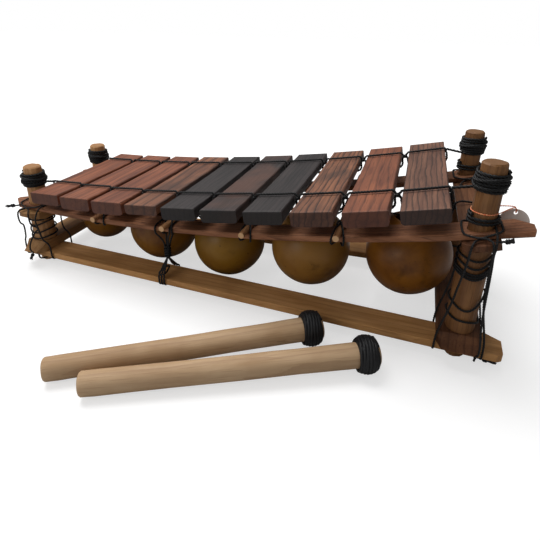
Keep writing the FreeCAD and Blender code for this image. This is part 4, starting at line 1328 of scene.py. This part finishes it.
@dataclass
class HeadWindings:
    """The cord wound on the posts' heads, running on to the outermost bars."""

    layout: Layout = LAYOUT
    rope: Rope = WOUND_CORD
    turns: float = 6.3
    pitch: float = 2.72

    def build(self) -> None:
        """Makes and seats the four windings."""
        layout = self.layout
        bars = layout.bars()
        material = BLACK_CORD.material()
        for row in Row:
            for end in End:
                bar = bars[0] if end is End.LEFT else bars[-1]
                outward = end.value
                at = layout.post_x(end)
                axis = layout.world(at, layout.post_line(row, at), 0)
                reach = layout.post_head / 2 + 0.1 + self.rope.radius * 1000
                low = layout.post_height(row, end) - 5.5 - 1.45 - 17.0
                edge = bar.width / 2 + LINE_CORD.radius * 1000 + 0.3
                rim = layout.bar_place(bar) @ (Vector((outward * edge, layout.cord_line(row, bar.number), 0.6)) / 1000)
                to_rim = Vector((rim.x - axis.x, rim.y - axis.y, 0)) * 1000
                swing = math.acos(reach / to_rim.length)
                touch = math.atan2(to_rim.y, to_rim.x) + row.value * outward * swing
                sense = row.value * outward
                bulge = lambda share: (reach + 0.9 * math.sin(math.pi * min(1.0, share * 1.1)) ** 2) / 1000
                wound = helix(axis, bulge, touch, self.turns, sense, low / 1000, self.pitch / 1000)
                tail = [rim, rim.lerp(wound[0], 0.4), rim.lerp(wound[0], 0.8)]
                work = CordWork().lay(self.rope, tail + wound)
                for level, tilt, phase in ((7.0, 3.2, 1.0), (10.5, -2.6, 2.6)):
                    crossing = []
                    for i in range(12):
                        turn = 2 * math.pi * i / 12
                        angle = touch + sense * turn
                        height = (low + level + tilt * math.sin(turn + phase)) / 1000
                        radius = (reach + 1.9 + 0.5 * math.cos(2 * turn)) / 1000 / math.cos(math.pi / 12) ** 0.5
                        crossing.append(Vector((axis.x + radius * math.cos(angle),
                                                axis.y + radius * math.sin(angle), height)))
                    work.lay(self.rope, crossing, closed=True)
                piece = work.finish("winding")
                seat(piece, f"head_cord_{row.word}_{end.word}", "frame", material,
                     (f"head_winding_{row.word}_{end.word}",))


@dataclass
class CornerLashings:
    """The cords that bind posts, rails and cross-pieces at the four corners."""

    layout: Layout = LAYOUT
    rope: Rope = THIN_CORD
    foot_reach: dict[str, float] = field(default_factory=lambda: {"left": 16.5, "right": 20.7})

    def collar(self, centre: Vector, reach: float, height: float, dips: dict[float, float]) -> list[Vector]:
        """A ring round the post, pulled down or up at some angles.

        Args:
            centre: a point of the post's axis.
            reach: the ring's radius in millimetres.
            height: the ring's height in millimetres.
            dips: angle in degrees to change of height in millimetres.

        Returns:
            The ring's control points.
        """
        points = []
        for i in range(16):
            angle = 2 * math.pi * i / 16
            z = height
            for where, change in dips.items():
                near = math.cos(angle - math.radians(where))
                z += change * max(0.0, near) ** 3
            radius = reach / math.cos(math.pi / 16) / 1000
            points.append(Vector((centre.x + radius * math.cos(angle), centre.y + radius * math.sin(angle), z / 1000)))
        return points

    def build(self) -> None:
        """Makes and seats the four lashings."""
        material = BLACK_CORD.material()
        for row in Row:
            for end in End:
                work = self.corner(row, end)
                piece = work.finish("lashing")
                seat(piece, f"corner_cord_{row.word}_{end.word}", "frame", material,
                     (f"corner_lashing_{row.word}_{end.word}",))

    def corner(self, row: Row, end: End) -> CordWork:
        """Lays one corner's cords."""
        layout = self.layout
        at = layout.post_x(end)
        depth = layout.post_line(row, at)
        out = row.value
        thick = self.rope.radius * 1000
        axis = layout.world(at, depth, 0)
        block = layout.post_block / 2
        seat_height = layout.foot_length + layout.low_rail_thick + layout.low_cross_thick
        shoulder = Stakes().shoulder(end) - block * abs(math.tan(layout.slope(at, layout.rail_bow)))
        span = shoulder - seat_height
        work = CordWork()
        front = 90.0 * out
        rings = ((0.2, {front: -3.5}), (0.5, {front: -4.5}), (0.86, {front: -5.0}), (0.97, {front: -1.0}))
        if end is End.RIGHT:
            rings = ((0.17, {front: 1.0, 0.0: -4.0, 180.0: 5.0}), (0.4, {front: -7.0, 0.0: 10.0}),
                     (0.76, {front: -4.0, 0.0: 5.0}), (0.79, {front: -4.0, 0.0: 5.0}), (0.82, {front: -4.0, 0.0: 5.0}),
                     (0.9, {front: -5.0, 0.0: 7.0}), (0.97, {front: -3.0, 0.0: 6.0}))
        for share, dips in rings:
            work.lay(self.rope, self.collar(axis, block + thick + 0.5, seat_height + share * span, dips), closed=True)
        for side in (-1, 1):
            self.truss(work, row, end, side)
        self.strand(work, row, end)
        self.tassels(work, row, end)
        if end is End.RIGHT:
            reach = layout.post_head / 2 + 0.2 + WOUND_CORD.radius * 1000
            low = layout.rail_top(at + 13) + WOUND_CORD.radius * 1000 + 0.3
            wound = helix(axis, lambda share: reach / 1000, 0.0, 2.6, 1, low / 1000, 0.0033)
            work.lay(WOUND_CORD, wound)
        return work

    def truss(self, work: CordWork, row: Row, end: End, side: int) -> None:
        """Lays one cord under the lower rail, up beside the post and crosswise over the upper rail.

        Args:
            work: the corner's cords.
            row: front or back.
            end: left or right.
            side: -1 where the cord starts to the left of the post, 1 to the right.
        """
        layout = self.layout
        at = layout.post_x(end)
        thick = self.rope.radius * 1000
        foot = self.foot_reach[end.word] * side
        if end is End.LEFT and side > 0:
            foot += 7.0
        waist, neck, crown = side * 13.0, side * 8.5, -side * 15.0
        wide_low = layout.low_rail_width / 2 + thick + 0.6
        wide_top = layout.top_rail_width / 2 + thick + 0.6
        tip = 25.0 + thick + 0.7
        shift = 0.0 if side < 0 else 2 * thick + 0.3
        under = layout.foot_length - thick - 0.3
        mid = (layout.foot_length + layout.low_rail_thick + layout.rail_under(at)) / 2
        half = [
            (foot, 0.0, under - 0.1), (foot, wide_low, under), (foot, wide_low, 20.0),
            (foot * 0.97, wide_low, 31.0), (waist, wide_low + 0.4, mid - 10.0), (waist * 0.85, wide_low + 1.2, mid + 8.0),
            (neck, tip - 1.0, layout.rail_under(at + neck) - 15.0), (neck, tip + 0.4, layout.rail_under(at + neck) - 5.0),
            (neck * 0.9, tip - 0.6, layout.rail_under(at + neck) + 2.4),
            (neck * 0.5, wide_top + 2.0 + shift, layout.rail_under(at + neck) + 3.4),
            (-neck * 0.5, wide_top + shift, layout.rail_top(at - neck * 0.5) - 1.5),
            (crown * 0.9, wide_top, layout.rail_top(at + crown) + thick + 0.2),
            (crown, wide_top * 0.6, layout.rail_top(at + crown) + thick + 0.5),
            (crown, 0.0, layout.rail_top(at + crown) + thick + 0.5),
        ]
        loop = [(x, -y, z) for x, y, z in half] + [(x, y, z) for x, y, z in half[-2:0:-1]]
        points = [layout.world(at + x, layout.post_line(row, at + x) + y, z) for x, y, z in loop]
        work.lay(self.rope, points, closed=True)

    def strand(self, work: CordWork, row: Row, end: End) -> None:
        """Lays the single cord that runs down the post's outer face."""
        layout = self.layout
        at = layout.post_x(end)
        depth, out = layout.post_line(row, at), row.value
        thick = self.rope.radius * 1000
        edge_low = layout.low_rail_width / 2 + thick * 3 + 1.2
        edge_top = layout.top_rail_width / 2 + thick * 3 + 2.6
        high, low = (18.0, 5.0) if end is End.LEFT else (10.0, 15.0)
        top_z, under = layout.rail_top(at + high), layout.rail_under(at + high)
        low_z = layout.foot_length - thick * 3 - 0.4
        points = [(high, 2.0, top_z + thick + 0.4), (high, 9.0, top_z + thick + 0.4), (high, edge_top, top_z + 1.0),
                  (high, 26.5, under - 1.0), (high * 0.9, 26.5, under - 9.0), (high * 0.7 + low * 0.3, 20.5, under - 24.0),
                  (high * 0.3 + low * 0.7, 20.2, 50.0), (low, 31.5, 33.0), (low, 31.0, 22.0), (low, edge_low, 17.0),
                  (low, edge_low, low_z + 2.0), (low + 2.0, 12.0, low_z), (low + 8.0, 4.0, low_z)]
        work.lay(self.rope, [layout.world(at + x, depth + out * y, z) for x, y, z in points])

    def tassels(self, work: CordWork, row: Row, end: End) -> None:
        """Leaves the knotted ends of the corner's cords sticking out, one at the upper rail and one below."""
        layout = self.layout
        at = layout.post_x(end)
        if end is End.LEFT:
            ends = (((-16, 14.0, layout.rail_top(at - 16) - 2.0), (-25, 17.0, layout.rail_top(at - 25) - 3.5), 7.5),
                    ((-6, 17.8, 14.0), (-8, 18.8, 9.4), 6.0))
        else:
            ends = (((8, 18.5, layout.rail_under(at + 8) - 1.0), (19, 20.0, layout.rail_under(at + 19) + 0.5), 4.0),
                    ((16, 12.0, 7.6), (27, 10.0, 5.2), 9.0))
        for root, knot, length in ends:
            self.tassel(work, row, at, root, knot, length)

    def tassel(self, work: CordWork, row: Row, at: float, root: tuple[float, float, float],
               knot: tuple[float, float, float], length: float) -> None:
        """Lays one cord's end with its knot and its frayed fibres.

        Args:
            work: the corner's cords.
            row: front or back.
            at: the post's place along the row.
            root: where the end starts: along, outwards and up from the post's foot.
            knot: where the knot is, in the same way.
            length: how far the fibres reach past the knot, in millimetres.
        """
        layout = self.layout
        depth = layout.post_line(row, at)
        start, tip = (Vector((at + x, depth + row.value * y, z)) for x, y, z in (root, knot))
        way = (tip - start).normalized()
        side = way.orthogonal().normalized()
        other = way.cross(side)
        work.lay(self.rope, [layout.world(*p) for p in (start, start.lerp(tip, 0.5) + side * 0.6, tip)])
        for behind in (0.0, -1.6):
            ring = []
            for i in range(8):
                angle = 2 * math.pi * i / 8
                place = tip + way * (behind + 0.6 * math.sin(angle)) + (side * math.cos(angle) + other * math.sin(angle)) * 1.5
                ring.append(layout.world(*place))
            work.lay(self.rope, ring, closed=True)
        fibre = Rope(0.0006, strands=1, sides=5)
        for i in range(11):
            angle = 2.4 * i
            spread = (side * math.cos(angle) + other * math.sin(angle)) * (0.4 + 0.6 * (i % 4) / 3)
            hair = [tip + spread * 0.8, tip + way * length * 0.45 + spread * 1.6,
                    tip + way * (length - 0.7 * (i % 3)) + spread * 2.3]
            work.lay(fibre, [layout.world(*p) for p in hair])


@dataclass
class MiddleLashings:
    """The cords that join the upper rails to the lower ones at the middle of the row."""

    layout: Layout = LAYOUT
    at: float = -56.0
    rope: Rope = THIN_CORD

    def build(self) -> None:
        """Makes and seats the front and the back lashing."""
        material = BLACK_CORD.material()
        for row in Row:
            work = CordWork()
            for points, closed in self.routes(row):
                work.lay(self.rope, [self.layout.world(*p) for p in points], closed)
            piece = work.finish("middle")
            seat(piece, f"middle_cord_{row.word}", "frame", material, (f"middle_lashing_{row.word}",))

    def routes(self, row: Row) -> list[tuple[list[tuple[float, float, float]], bool]]:
        """The lashing's cords as routes, each with whether it is closed."""
        layout = self.layout
        at, out = self.at, row.value
        depth = layout.post_line(row, at)
        thick = self.rope.radius * 1000
        half_low, half_top = layout.low_rail_width / 2 + thick + 0.4, layout.top_rail_width / 2 + thick + 0.4
        low_z, low_top = layout.foot_length - thick - 0.3, layout.foot_length + layout.low_rail_thick + thick + 0.3
        face = depth + out * (half_top * 0.55)
        knot_low, knot_high = 42.0, 60.0
        routes = []
        for side in (-1, 1):
            x = at + side * 9.0
            over, under = layout.rail_top(x) + thick + 0.4, layout.rail_under(x) - thick - 0.4
            routes.append(([(at + side * 1.2, face, knot_low + 2), (at + side * 1.6, face, knot_high),
                            (x - side * 3, depth + out * half_top * 0.9, under - 3), (x, depth + out * half_top, under),
                            (x, depth + out * half_top, over), (x, depth, over + 0.1), (x, depth - out * half_top, over),
                            (x, depth - out * half_top, under), (x - side * 4, depth, under - 3),
                            (at + side * 1.4, face - out * 2, knot_high - 4), (at + side * 1.0, face - out * 2, knot_low)],
                           False))
        for height in (44.0, 47.0, 50.0, 53.0, 56.5):
            ring = []
            for i in range(8):
                angle = 2 * math.pi * i / 8
                ring.append((at + 3.6 * math.cos(angle), face - out * 1.0 + 3.2 * math.sin(angle),
                             height + 0.5 * math.cos(angle)))
            routes.append((ring, True))
        for x, far in ((at - 8.0, 1.0), (at - 1.5, 1.0), (at - 4.8, 1.0)):
            routes.append(([(at, face, knot_low + 1), (x, depth + out * half_low, low_top + 4), (x, depth + out * half_low, low_top),
                            (x, depth + out * half_low, low_z), (x, depth, low_z - 0.1), (x, depth - out * half_low, low_z),
                            (x, depth - out * half_low, low_top), (x + 1, depth - out * half_low * 0.7, low_top + 1),
                            (at, face - out * 1.5, knot_low)], False))
        routes.append(([(at - 9, depth + out * half_low * 0.9, low_top + 6.0), (at - 5, depth + out * (half_low + 1.8), low_top + 4.5),
                        (at + 1, depth + out * half_low * 0.9, low_top + 6.0), (at - 3, depth - out * 2, low_top + 9.0)], True))
        return routes


@dataclass
class StickLashings:
    """The crossed cords that hold the sticks' ends on the upper rails."""

    layout: Layout = LAYOUT
    rope: Rope = THIN_CORD

    def build(self) -> None:
        """Makes and seats all of them as one piece."""
        layout = self.layout
        material = BLACK_CORD.material()
        thick = self.rope.radius * 1000
        work = CordWork()
        for at in layout.stick_places():
            top = layout.rail_top(at) + 0.1 + layout.stick_width
            for row in Row:
                depth = layout.post_line(row, at)
                half = layout.top_rail_width / 2 + thick + 0.5
                for lean in (-1, 1):
                    run = 6.0 * lean
                    z_under = min(layout.rail_under(at - 7), layout.rail_under(at + 7)) - thick - 0.3
                    loop = [(at - run, depth - half, layout.rail_top(at - run) + 0.5), (at - run * 0.5, depth - half * 0.5, top + thick - 0.5),
                            (at, depth, top + thick + (0.5 if lean > 0 else 1.6)), (at + run * 0.5, depth + half * 0.5, top + thick - 0.5),
                            (at + run, depth + half, layout.rail_top(at + run) + 0.5), (at + run, depth + half, z_under),
                            (at + run * 0.5, depth + half * 0.5, z_under - 0.2), (at - run * 0.5, depth - half * 0.5, z_under - 0.2),
                            (at - run, depth - half, z_under)]
                    work.lay(self.rope, [layout.world(*p) for p in loop], closed=True)
        seat(work.finish("sticks"), "stick_cords", "frame", material, ("stick_lashings",))


@dataclass
class GourdTies:
    """The cords from the gourds' rims up to the sticks and cross-pieces."""

    layout: Layout = LAYOUT
    rope: Rope = THIN_CORD
    below_rim: float = 7.0

    def build(self) -> None:
        """Makes and seats all ties as one piece."""
        layout = self.layout
        thick = self.rope.radius * 1000
        work = CordWork()
        carriers = [layout.post_at[0], *layout.stick_places(), layout.post_at[1]]
        for index, bowl in enumerate(Gourds().bowls):
            for side, at in ((-1, carriers[index]), (1, carriers[index + 1])):
                up = bowl.rim - bowl.low - bowl.radius
                hole = up - self.below_rim
                inside = bowl.radius - 3.5
                outer = bowl.across + side * (math.sqrt(bowl.radius**2 - hole**2) + thick + 0.6)
                inner = bowl.across + side * (math.sqrt(inside**2 - up**2) - thick - 0.6)
                hole_z = bowl.low + bowl.radius + hole
                if index in (0, 4) and at in layout.post_at:
                    half, top, under = 15.0, layout.rail_under(at) + 1.5, layout.rail_under(at) - 12.5
                else:
                    half, under = layout.stick_width / 2, layout.rail_top(at) - 0.5
                    top = layout.rail_top(at) + 0.1 + layout.stick_width + thick + 0.3
                near, far = at - side * (half + thick + 0.4), at + side * (half + thick + 0.4)
                y = bowl.depth
                loop = [(inner, y, bowl.rim + 2), (inner, y, hole_z), (outer - side * 1.5, y, hole_z - 0.5),
                        (outer, y, hole_z + 1), (far, y, under), (far, y, top), ((near + far) / 2, y, top + 0.2),
                        (near, y, top), (near, y, under - 2)]
                work.lay(self.rope, [layout.world(*p) for p in loop], closed=True)
        seat(work.finish("ties"), "gourd_cords", "frame", BLACK_CORD.material(), ("gourd_ties",))


# Mallets and tag


@dataclass
class Mallet:
    """One mallet: a turned handle and its head of wound rubber."""

    name: str
    grain: Grain
    butt: tuple[float, float]
    degrees: float
    length: float
    layout: Layout = LAYOUT
    butt_width: float = 22.0
    end_width: float = 24.4
    head_width: float = 36.0
    head_length: float = 19.0

    def place(self) -> Matrix:
        """The mallet's own frame, its X axis along the handle from the butt."""
        rise = (self.head_width - self.butt_width) / 2 - 0.27
        pitch = math.asin(rise / (self.length - self.head_length / 2 - 1))
        spot = self.layout.world(self.butt[0], self.butt[1], self.butt_width / 2 + 0.05)
        turn = Matrix.Rotation(math.radians(self.degrees), 4, "Z") @ Matrix.Rotation(-pitch, 4, "Y")
        return Matrix.Translation(spot) @ turn

    def build(self) -> None:
        """Makes and seats the handle and the head."""
        body = f"{self.name}_mallet"
        butt, end = self.butt_width / 2 - 0.35, self.end_width / 2 - 0.2
        flare = 0.72 * self.length
        profile = [(0.0, butt - 1.8), (0.5, butt - 0.9), (1.6, butt - 0.15), (12, butt), (flare * 0.4, butt - 0.1),
                   (flare * 0.75, butt + 0.1), (flare, butt + 0.15), (self.length * 0.86, butt + 0.5),
                   (self.length * 0.93, end - 0.5), (self.length - 1.2, end), (self.length, end - 1.0)]
        handle = turned([(z / 1000, r / 1000) for z, r in profile], 28)
        make_active(handle)
        cuts = handle.modifiers.new("cuts", "SUBSURF")
        cuts.subdivision_type = "SIMPLE"
        cuts.levels = cuts.render_levels = 1
        bpy.ops.object.modifier_apply(modifier=cuts.name)
        roughen(handle, 0.0007, 0.02, f"{self.name}_knife")
        upright_to_lying = Matrix.Rotation(math.radians(90), 4, "Y")
        handle.matrix_world = self.place() @ upright_to_lying
        apply_place(handle)
        smooth(handle, 35)
        timber = WoodFinish(f"{self.name}_handle_timber", light=(0.52, 0.36, 0.22), dark=(0.41, 0.265, 0.145),
                            vein=(0.24, 0.135, 0.07), grain=self.grain, vein_amount=0.35, vein_scale=0.75, waviness=1.2,
                            pores=0.35, stain=(0.29, 0.165, 0.08), stain_amount=0.5, stain_scale=16.0,
                            stain_spread=0.2, bump=0.3, gloss=0.2, seed=self.degrees)
        seat(handle, f"mallet_{self.name}_stick", body, timber.material(),
             (f"mallet_{self.name}_handle",))
        self.head(body)

    def head(self, body: str) -> None:
        """Winds the rubber head: a core under three layers of cord."""
        long, full = self.head_length, self.head_width / 2
        start = self.length - long - 1
        work = CordWork()
        rubber = Rope(0.00165, strands=1, sides=8, step=0.0016)
        generator = random.Random(int(self.degrees))
        place = self.place()
        for layer, (turns, sink, lean) in enumerate(((5, 1.7, 0.0), (6, 0.0, 2.2), (4, 0.35, -2.8))):
            count = turns * 12
            points = []
            for i in range(count + 1):
                share = i / count
                angle = 2 * math.pi * turns * share + layer
                along = start + 1.7 + (long - 3.4) * share + lean * math.sin(angle + layer)
                along = min(max(along, start + 1.5), start + long - 1.5)
                middle = (2 * (along - start) / long - 1) ** 2
                reach = full - 1.65 - 3.6 * middle - sink + generator.uniform(-0.15, 0.15)
                points.append(place @ (Vector((along, reach * math.cos(angle), reach * math.sin(angle))) / 1000))
            work.lay(rubber, points)
        wound = work.finish("wound")
        deselect_all()
        core = turned([(z / 1000, r / 1000) for z, r in
                       ((0.6, full - 6.6), (2.0, full - 5.2), (long / 2, full - 3.4), (long - 2.0, full - 5.2),
                        (long - 0.6, full - 6.6))], 32)
        core.matrix_world = place @ Matrix.Translation(Vector((start / 1000, 0, 0))) @ Matrix.Rotation(
            math.radians(90), 4, "Y")
        apply_place(core)
        deselect_all()
        core.select_set(True)
        wound.select_set(True)
        bpy.context.view_layer.objects.active = wound
        bpy.ops.object.join()
        seat(wound, f"mallet_{self.name}_wound_head", body, WOUND_RUBBER.material(),
             (f"mallet_{self.name}_head",))


@dataclass
class HangTag:
    """The bare round card on its loop of string."""

    layout: Layout = LAYOUT
    width: float = 25.0
    beside: float = 27.4
    height: float = 133.0

    def build(self) -> None:
        """Dresses the card and strings it on the post."""
        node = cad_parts["hang_tag"]
        node.data.materials.clear()
        node.data.materials.append(TAG_CARD.material())
        layout = self.layout
        at = layout.post_x(End.RIGHT)
        depth = layout.post_line(Row.FRONT, at)
        low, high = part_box("hang_tag")
        eye = Vector((at + self.beside, depth + layout.top_rail_width / 2 + 2.2 + 2.6, self.height + 9.1))
        reach = layout.post_head / 2 + 0.9
        level = self.height + self.width / 2 + 2.4
        around = []
        for i in range(9):
            angle = math.radians(75 + 30 * i)
            around.append((at + reach * math.cos(angle), depth + reach * math.sin(angle), level))
        points = [(eye.x, eye.y + 1.2, eye.z), (eye.x, eye.y + 1.3, eye.z + 3.2), (eye.x - 2, eye.y + 0.6, level), *around,
                  (eye.x - 2, eye.y - 1.2, level), (eye.x, eye.y - 1.3, eye.z + 3.2), (eye.x, eye.y - 1.2, eye.z)]
        work = CordWork().lay(FINE_STRING, [layout.world(*p) for p in points], closed=True)
        seat(work.finish("string"), "tag_loop", "frame", TAG_STRING.material(), ("hang_tag_string",))


# Studio


@dataclass
class Studio:
    """The camera, the floor and the lights."""

    layout: Layout = LAYOUT
    camera_at: tuple[float, float, float] = (187.3, -459.7, 291.4)
    yaw: float = 17.8
    pitch: float = 23.2
    roll: float = 1.1
    lens: float = 29.75
    shift_y: float = -60 / 540

    def build(self) -> None:
        """Sets up the view, the light and the floor."""
        self.camera()
        self.light()
        self.floor()
        bpy.context.scene.view_settings.view_transform = "Standard"

    def camera(self) -> None:
        """Places the camera at the photograph's viewing angle."""
        yaw, pitch, roll = (math.radians(a) for a in (self.yaw, self.pitch, self.roll))
        ahead = Vector((-math.sin(yaw) * math.cos(pitch), math.cos(yaw) * math.cos(pitch), -math.sin(pitch)))
        right = Vector((math.cos(yaw), math.sin(yaw), 0))
        up = right.cross(ahead)
        right_rolled = right * math.cos(roll) + up * math.sin(roll)
        up_rolled = up * math.cos(roll) - right * math.sin(roll)
        turn = Matrix((right_rolled, up_rolled, -ahead)).transposed()
        data = bpy.data.cameras.new("view")
        data.sensor_width = 36.0
        data.lens = self.lens
        data.shift_y = self.shift_y
        data.clip_start = 0.01
        camera = bpy.data.objects.new("view", data)
        bpy.context.scene.collection.objects.link(camera)
        camera.matrix_world = Matrix.Translation(self.layout.world(*self.camera_at)) @ turn.to_4x4()
        bpy.context.scene.camera = camera

    def lamp(self, name: str, place: tuple[float, float, float], size: float, power: float) -> None:
        """Hangs a square lamp that faces the middle of the instrument.

        Args:
            name: the lamp's name.
            place: where it hangs, in metres.
            size: its side in metres.
            power: its power in watts.
        """
        data = bpy.data.lights.new(name, "AREA")
        data.size = size
        data.energy = power
        lamp = bpy.data.objects.new(name, data)
        bpy.context.scene.collection.objects.link(lamp)
        lamp.location = place
        lamp.rotation_euler = (Vector((0, 0, 0.08)) - Vector(place)).to_track_quat("-Z", "Y").to_euler()

    def light(self) -> None:
        """Lights the scene softly from above and behind the player's left."""
        self.lamp("sky", (-0.5, 0.35, 1.5), 1.2, 27.0)
        self.lamp("fill", (-0.9, -1.3, 0.8), 1.2, 8.0)
        world = bpy.data.worlds.new("studio")
        bpy.context.scene.world = world
        world.use_nodes = True
        tree = world.node_tree
        background = tree.nodes["Background"]
        path = add_node(tree, "LightPath")
        bright = add_node(tree, "Background")
        bright.inputs["Color"].default_value = (1, 1, 1, 1)
        bright.inputs["Strength"].default_value = 1.0
        background.inputs["Color"].default_value = (1, 1, 1, 1)
        background.inputs["Strength"].default_value = 0.26
        mix = add_node(tree, "MixShader")
        tree.links.new(path.outputs["Is Camera Ray"], mix.inputs[0])
        tree.links.new(background.outputs[0], mix.inputs[1])
        tree.links.new(bright.outputs[0], mix.inputs[2])
        tree.links.new(mix.outputs[0], tree.nodes["World Output"].inputs["Surface"])

    def floor(self) -> None:
        """Lays a pale floor."""
        deselect_all()
        bpy.ops.mesh.primitive_plane_add(size=14, location=(0, 0, -0.0003))
        plane = bpy.context.object
        plane.name = "floor"
        material, tree, shader = new_material("floor_paper")
        shader.inputs["Base Color"].default_value = (0.5, 0.5, 0.5, 1)
        shader.inputs["Roughness"].default_value = 0.9
        shader.inputs["Specular IOR Level"].default_value = 0.0
        glow = add_node(tree, "Emission")
        place = add_node(tree, "TexCoord")
        away = add_node(tree, "VectorMath", operation="LENGTH")
        tree.links.new(place.outputs["Object"], away.inputs[0])
        fade = add_node(tree, "MapRange")
        for label, value in (("From Min", 0.35), ("From Max", 1.3), ("To Min", 0.6), ("To Max", 0.9)):
            fade.inputs[label].default_value = value
        tree.links.new(away.outputs["Value"], fade.inputs["Value"])
        tree.links.new(fade.outputs["Result"], glow.inputs["Strength"])
        path = add_node(tree, "LightPath")
        share = add_node(tree, "AddShader")
        mix = add_node(tree, "MixShader")
        tree.links.new(shader.outputs[0], share.inputs[0])
        tree.links.new(glow.outputs[0], share.inputs[1])
        tree.links.new(path.outputs["Is Camera Ray"], mix.inputs[0])
        tree.links.new(shader.outputs[0], mix.inputs[1])
        tree.links.new(share.outputs[0], mix.inputs[2])
        tree.links.new(mix.outputs[0], tree.nodes["Material Output"].inputs["Surface"])
        plane.data.materials.append(material)


def main() -> None:
    """Builds the whole instrument in order."""
    Studio().build()
    RowOfBars().dress()
    Timber().dress()
    Stakes().build()
    Gourds().build()
    BarCords().build()
    HeadWindings().build()
    CornerLashings().build()
    MiddleLashings().build()
    StickLashings().build()
    GourdTies().build()
    Mallet("front", Grain.MALLET_FRONT, (-46.0, -239.5), 26.0, 256.0).build()
    Mallet("rear", Grain.MALLET_REAR, (-86.0, -236.0), 31.0, 250.0).build()
    HangTag().build()
    deselect_all()


if __name__ == "__main__":
    main()
